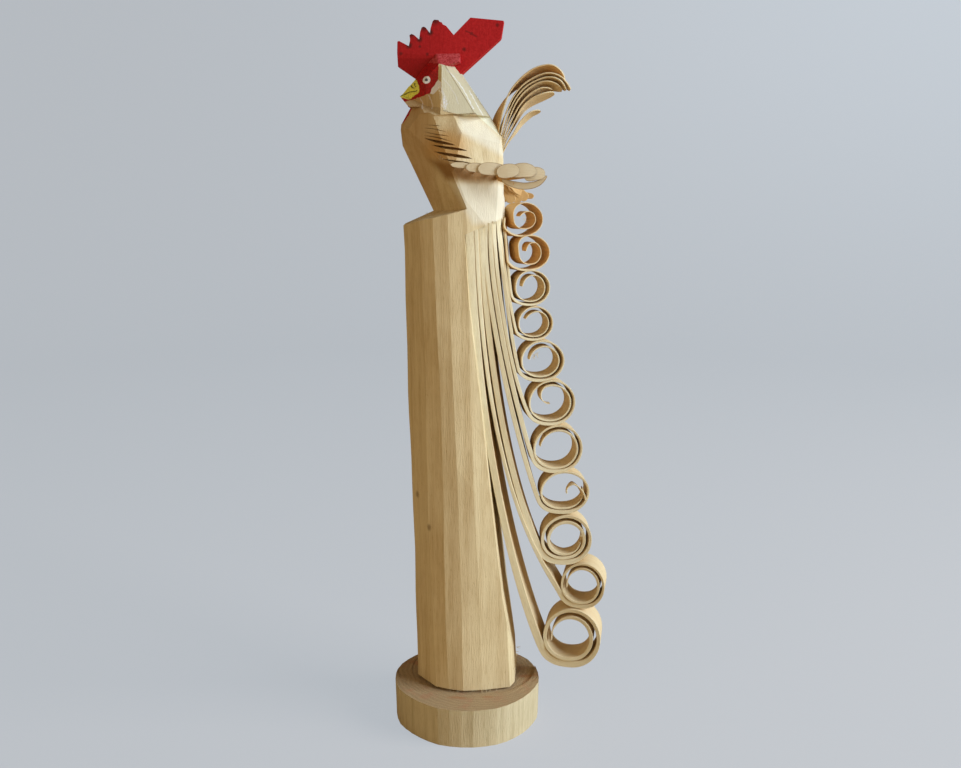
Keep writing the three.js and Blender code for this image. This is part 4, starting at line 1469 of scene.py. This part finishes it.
# %% Fibre tree
def build_fibre_tree():
    tree, w, given, leave = new_group("loose_fibres", "GeometryNodeTree", [
        ("Geometry", GEOMETRY), ("Length", FLOAT, 1.0), ("Radius", FLOAT, 0.05), ("Material", MATERIAL),
    ], [("Geometry", GEOMETRY)])
    length, bends = given["Length"], ((0.3, 0.5), (0.75, 0.7))
    middle, end = [w.joined(w.times(length, out), 0.0, w.times(length, up)) for out, up in bends]
    curl = w.node("GeometryNodeCurveQuadraticBezier", {
        "Resolution": 4, "Start": (0.0, 0.0, 0.0), "Middle": middle, "End": end,
    }).outputs[0]
    ring = w.node("GeometryNodeCurvePrimitiveCircle", {
        "Resolution": 3, "Radius": given["Radius"],
    }).outputs[0]
    hair = w.node("GeometryNodeCurveToMesh", {
        "Curve": curl, "Profile Curve": ring, "Fill Caps": True,
    }).outputs[0]
    aim = named(w, "aim", "FLOAT_VECTOR")
    turned = w.node("FunctionNodeAlignRotationToVector", {"Vector": aim}, axis="Z").outputs[0]
    finish_tree(w, given, leave, w.node("GeometryNodeInstanceOnPoints", {
        "Points": given["Geometry"], "Instance": hair, "Rotation": turned,
        "Scale": named(w, "size", "FLOAT"),
    }).outputs[0])
    return tree


fibre_tree = build_fibre_tree()
print("fibre tree:", len(fibre_tree.nodes), "nodes")

# %% [markdown]
# The points come from short lines along which fuzz is seen. Each hair leans away from its
# line by a random angle, and a fixed seed keeps the same hairs in every run.

# %% Loose fibres
# from, to, main direction, number of fibres, size
FUZZ_LINES = [
    ((11.5, 10.5, 13.5), (7.0, 15.6, 17.5), (0.2, 1.0, 0.2), 34, 1.0),
    ((7.0, 15.6, 17.5), (3.0, 16.6, 24.0), (0.1, 1.0, 0.0), 22, 0.9),
    ((14.6, 4.0, 13.2), (11.5, 10.5, 13.3), (0.9, 0.5, -0.2), 22, 0.8),
    ((14.6, -4.0, 13.1), (14.6, 4.0, 13.1), (1.0, 0.0, -0.2), 26, 0.5),
    ((10.0, -12.5, 13.1), (14.6, -4.0, 13.1), (1.0, -0.4, -0.2), 22, 0.5),
    ((9.2, -7.4, 205.0), (9.6, -6.6, 198.2), (1.0, -0.5, 0.1), 26, 0.7),
    ((11.4, -7.6, 184.4), (11.8, -5.2, 183.6), (1.0, 0.0, 0.3), 16, 1.1),
    ((11.6, -6.2, 186.2), (12.0, -2.0, 185.6), (1.0, 0.0, 0.3), 14, 0.6),
    ((7.5, -11.6, 166.9), (11.5, -9.4, 166.0), (0.6, -0.6, 0.5), 20, 0.8),
    ((3.9, 18.4, 166.0), (3.9, 18.8, 163.6), (0.5, -1.0, 0.3), 14, 0.9),
    ((4.1, 23.4, 124.0), (4.1, 21.2, 122.2), (0.5, -1.0, -0.3), 16, 1.0),
    ((4.4, 37.6, 63.4), (4.4, 38.2, 66.0), (0.5, -1.0, 0.5), 14, 0.8),
]
FUZZ_SCATTER, FUZZ_SPREAD = 0.25, 0.7
dice = random.Random(11)


def random_vector(reach):
    return Vector([dice.uniform(-reach, reach) for _ in range(3)])


fuzz_at, fuzz_aim, fuzz_size = [], [], []
for start, end, main, count, size in FUZZ_LINES:
    for _ in range(count):
        at = Vector(start).lerp(Vector(end), dice.random())
        fuzz_at.append(at + random_vector(FUZZ_SCATTER))
        fuzz_aim.append((Vector(main).normalized() + random_vector(FUZZ_SPREAD)).normalized())
        fuzz_size.append(size * dice.uniform(0.4, 1.2))
fuzz = link_mesh("loose_fibres", fuzz_at, [])
store_vectors(fuzz, "aim", fuzz_aim)
store_numbers(fuzz, "size", fuzz_size)
run_tree(fuzz, fibre_tree, {"Length": 1.3, "Radius": 0.06, "Material": shaded_material})
print("fibres:", len(fuzz_at), "with", len(fuzz.data.polygons), "faces")

# %% [markdown]
# Slices and fibres are part of the same stick as the bird, so they are moved with it and
# stand for the same solid.

# %% Place the slices and fibres
for made in [*tail, *wings, *plume, fuzz]:
    place_piece(made)
print(len(tail + wings + plume), "slices and the fibres placed")

# %% [markdown]
# ## Studio
# The carving stands on a pale sheet that curves up behind it, so that there is no corner in the picture. A
# round bowl does this for every side the object may be seen from. To the camera the sheet glows, brighter to
# the right and up as painted light; to other rays it is a warm brown.

# %% Backdrop
PAPER_SEEN = (0.14, 0.105, 0.08, 1.0)
PAPER_BOUNCE = (0.50, 0.36, 0.20, 1.0)
GLOW_LOW = (0.41, 0.455, 0.50, 1.0)
GLOW_HIGH = (0.54, 0.61, 0.68, 1.0)
BLACK = (0.0, 0.0, 0.0, 1.0)
BOWL_RINGS, FLAT_RINGS, BOWL_SIDES = 40, 12, 96
FLAT_RADIUS, BOWL_BEND = 0.9, 0.5
BEND_SPEED, WALL_START, WALL_SLOPE = 1.4, 0.714, 3.0


def bowl_profile(ring):
    """Radius and height of the bowl: flat, then a quarter round, then straight up."""
    if ring <= FLAT_RINGS:
        return FLAT_RADIUS * ring / FLAT_RINGS, 0.0
    bend = (ring - FLAT_RINGS) / (BOWL_RINGS - FLAT_RINGS)
    turn = min(1.0, bend * BEND_SPEED) * math.pi / 2
    rise = max(0.0, bend - WALL_START) * WALL_SLOPE
    return FLAT_RADIUS + BOWL_BEND * math.sin(turn), BOWL_BEND * (1 - math.cos(turn)) + rise


def build_bowl():
    points, faces = [], []
    for radius, height in [bowl_profile(ring) for ring in range(BOWL_RINGS + 1)]:
        for s in range(BOWL_SIDES):
            angle = 2 * math.pi * s / BOWL_SIDES
            points.append((radius * math.cos(angle), radius * math.sin(angle), height))
    for r in range(BOWL_RINGS):
        for s in range(BOWL_SIDES):
            a, b = r * BOWL_SIDES + s, r * BOWL_SIDES + (s + 1) % BOWL_SIDES
            faces.append((a, a + BOWL_SIDES, b + BOWL_SIDES, b))
    made = link_mesh("backdrop", points, faces)
    with opened(made.data) as work:
        bmesh.ops.remove_doubles(work, verts=work.verts, dist=1e-5)
    made.data.shade_smooth()
    return made


def build_paper_material():
    material, w, shader = new_material("pale_paper")
    parts = w.split(object_place(w))
    # painted light: the glow is brighter to the right and up
    lift = w.times(w.ranged(parts["Y"], -0.9, 1.1), w.ranged(parts["Z"], -0.4, 0.6))
    seen = w.node("ShaderNodeLightPath").outputs["Is Camera Ray"]
    w.fill(shader, {
        "Base Color": w.mixed(seen, PAPER_BOUNCE, PAPER_SEEN), "Roughness": 0.95, "Specular IOR Level": 0.1,
        "Emission Color": w.mixed(seen, BLACK, w.mixed(lift, GLOW_LOW, GLOW_HIGH)), "Emission Strength": 1.0,
    })
    return material


backdrop = build_bowl()
backdrop.data.materials.append(build_paper_material())
print("backdrop:", len(backdrop.data.polygons), "faces")

# %% [markdown]
# The light comes softly from the right and the front, with a weak fill from the left, so
# facets turned right are about four times as bright as those turned left.

# %% Lights
# name, place, height of the spot it is aimed at, size, power, colour
LIGHTS = [
    ("key", (0.20, 0.80, 0.42), 0.14, 0.55, 10.9, (0.84, 1.0, 1.22)),
    ("fill", (0.84, -0.46, 0.34), 0.12, 0.6, 1.75, (1.0, 0.81, 0.54)),
]
for name, place, target_z, size, power, colour in LIGHTS:
    data = bpy.data.lights.new(name, "AREA")
    data.shape = "RECTANGLE"
    data.size = data.size_y = size
    data.energy = power
    data.color = colour
    light = link_object(name, data)
    light.location = place
    aim = Vector((0, 0, target_z)) - Vector(place)
    light.rotation_euler = aim.to_track_quat("-Z", "Y").to_euler()
world = bpy.data.worlds.new("studio")
world.use_nodes = True
sky = world.node_tree.nodes["Background"].inputs
sky["Color"].default_value = (0.92, 0.84, 0.72, 1.0)
sky["Strength"].default_value = 0.27
bpy.context.scene.world = world
print("lights:", [light.name for light in bpy.data.lights])
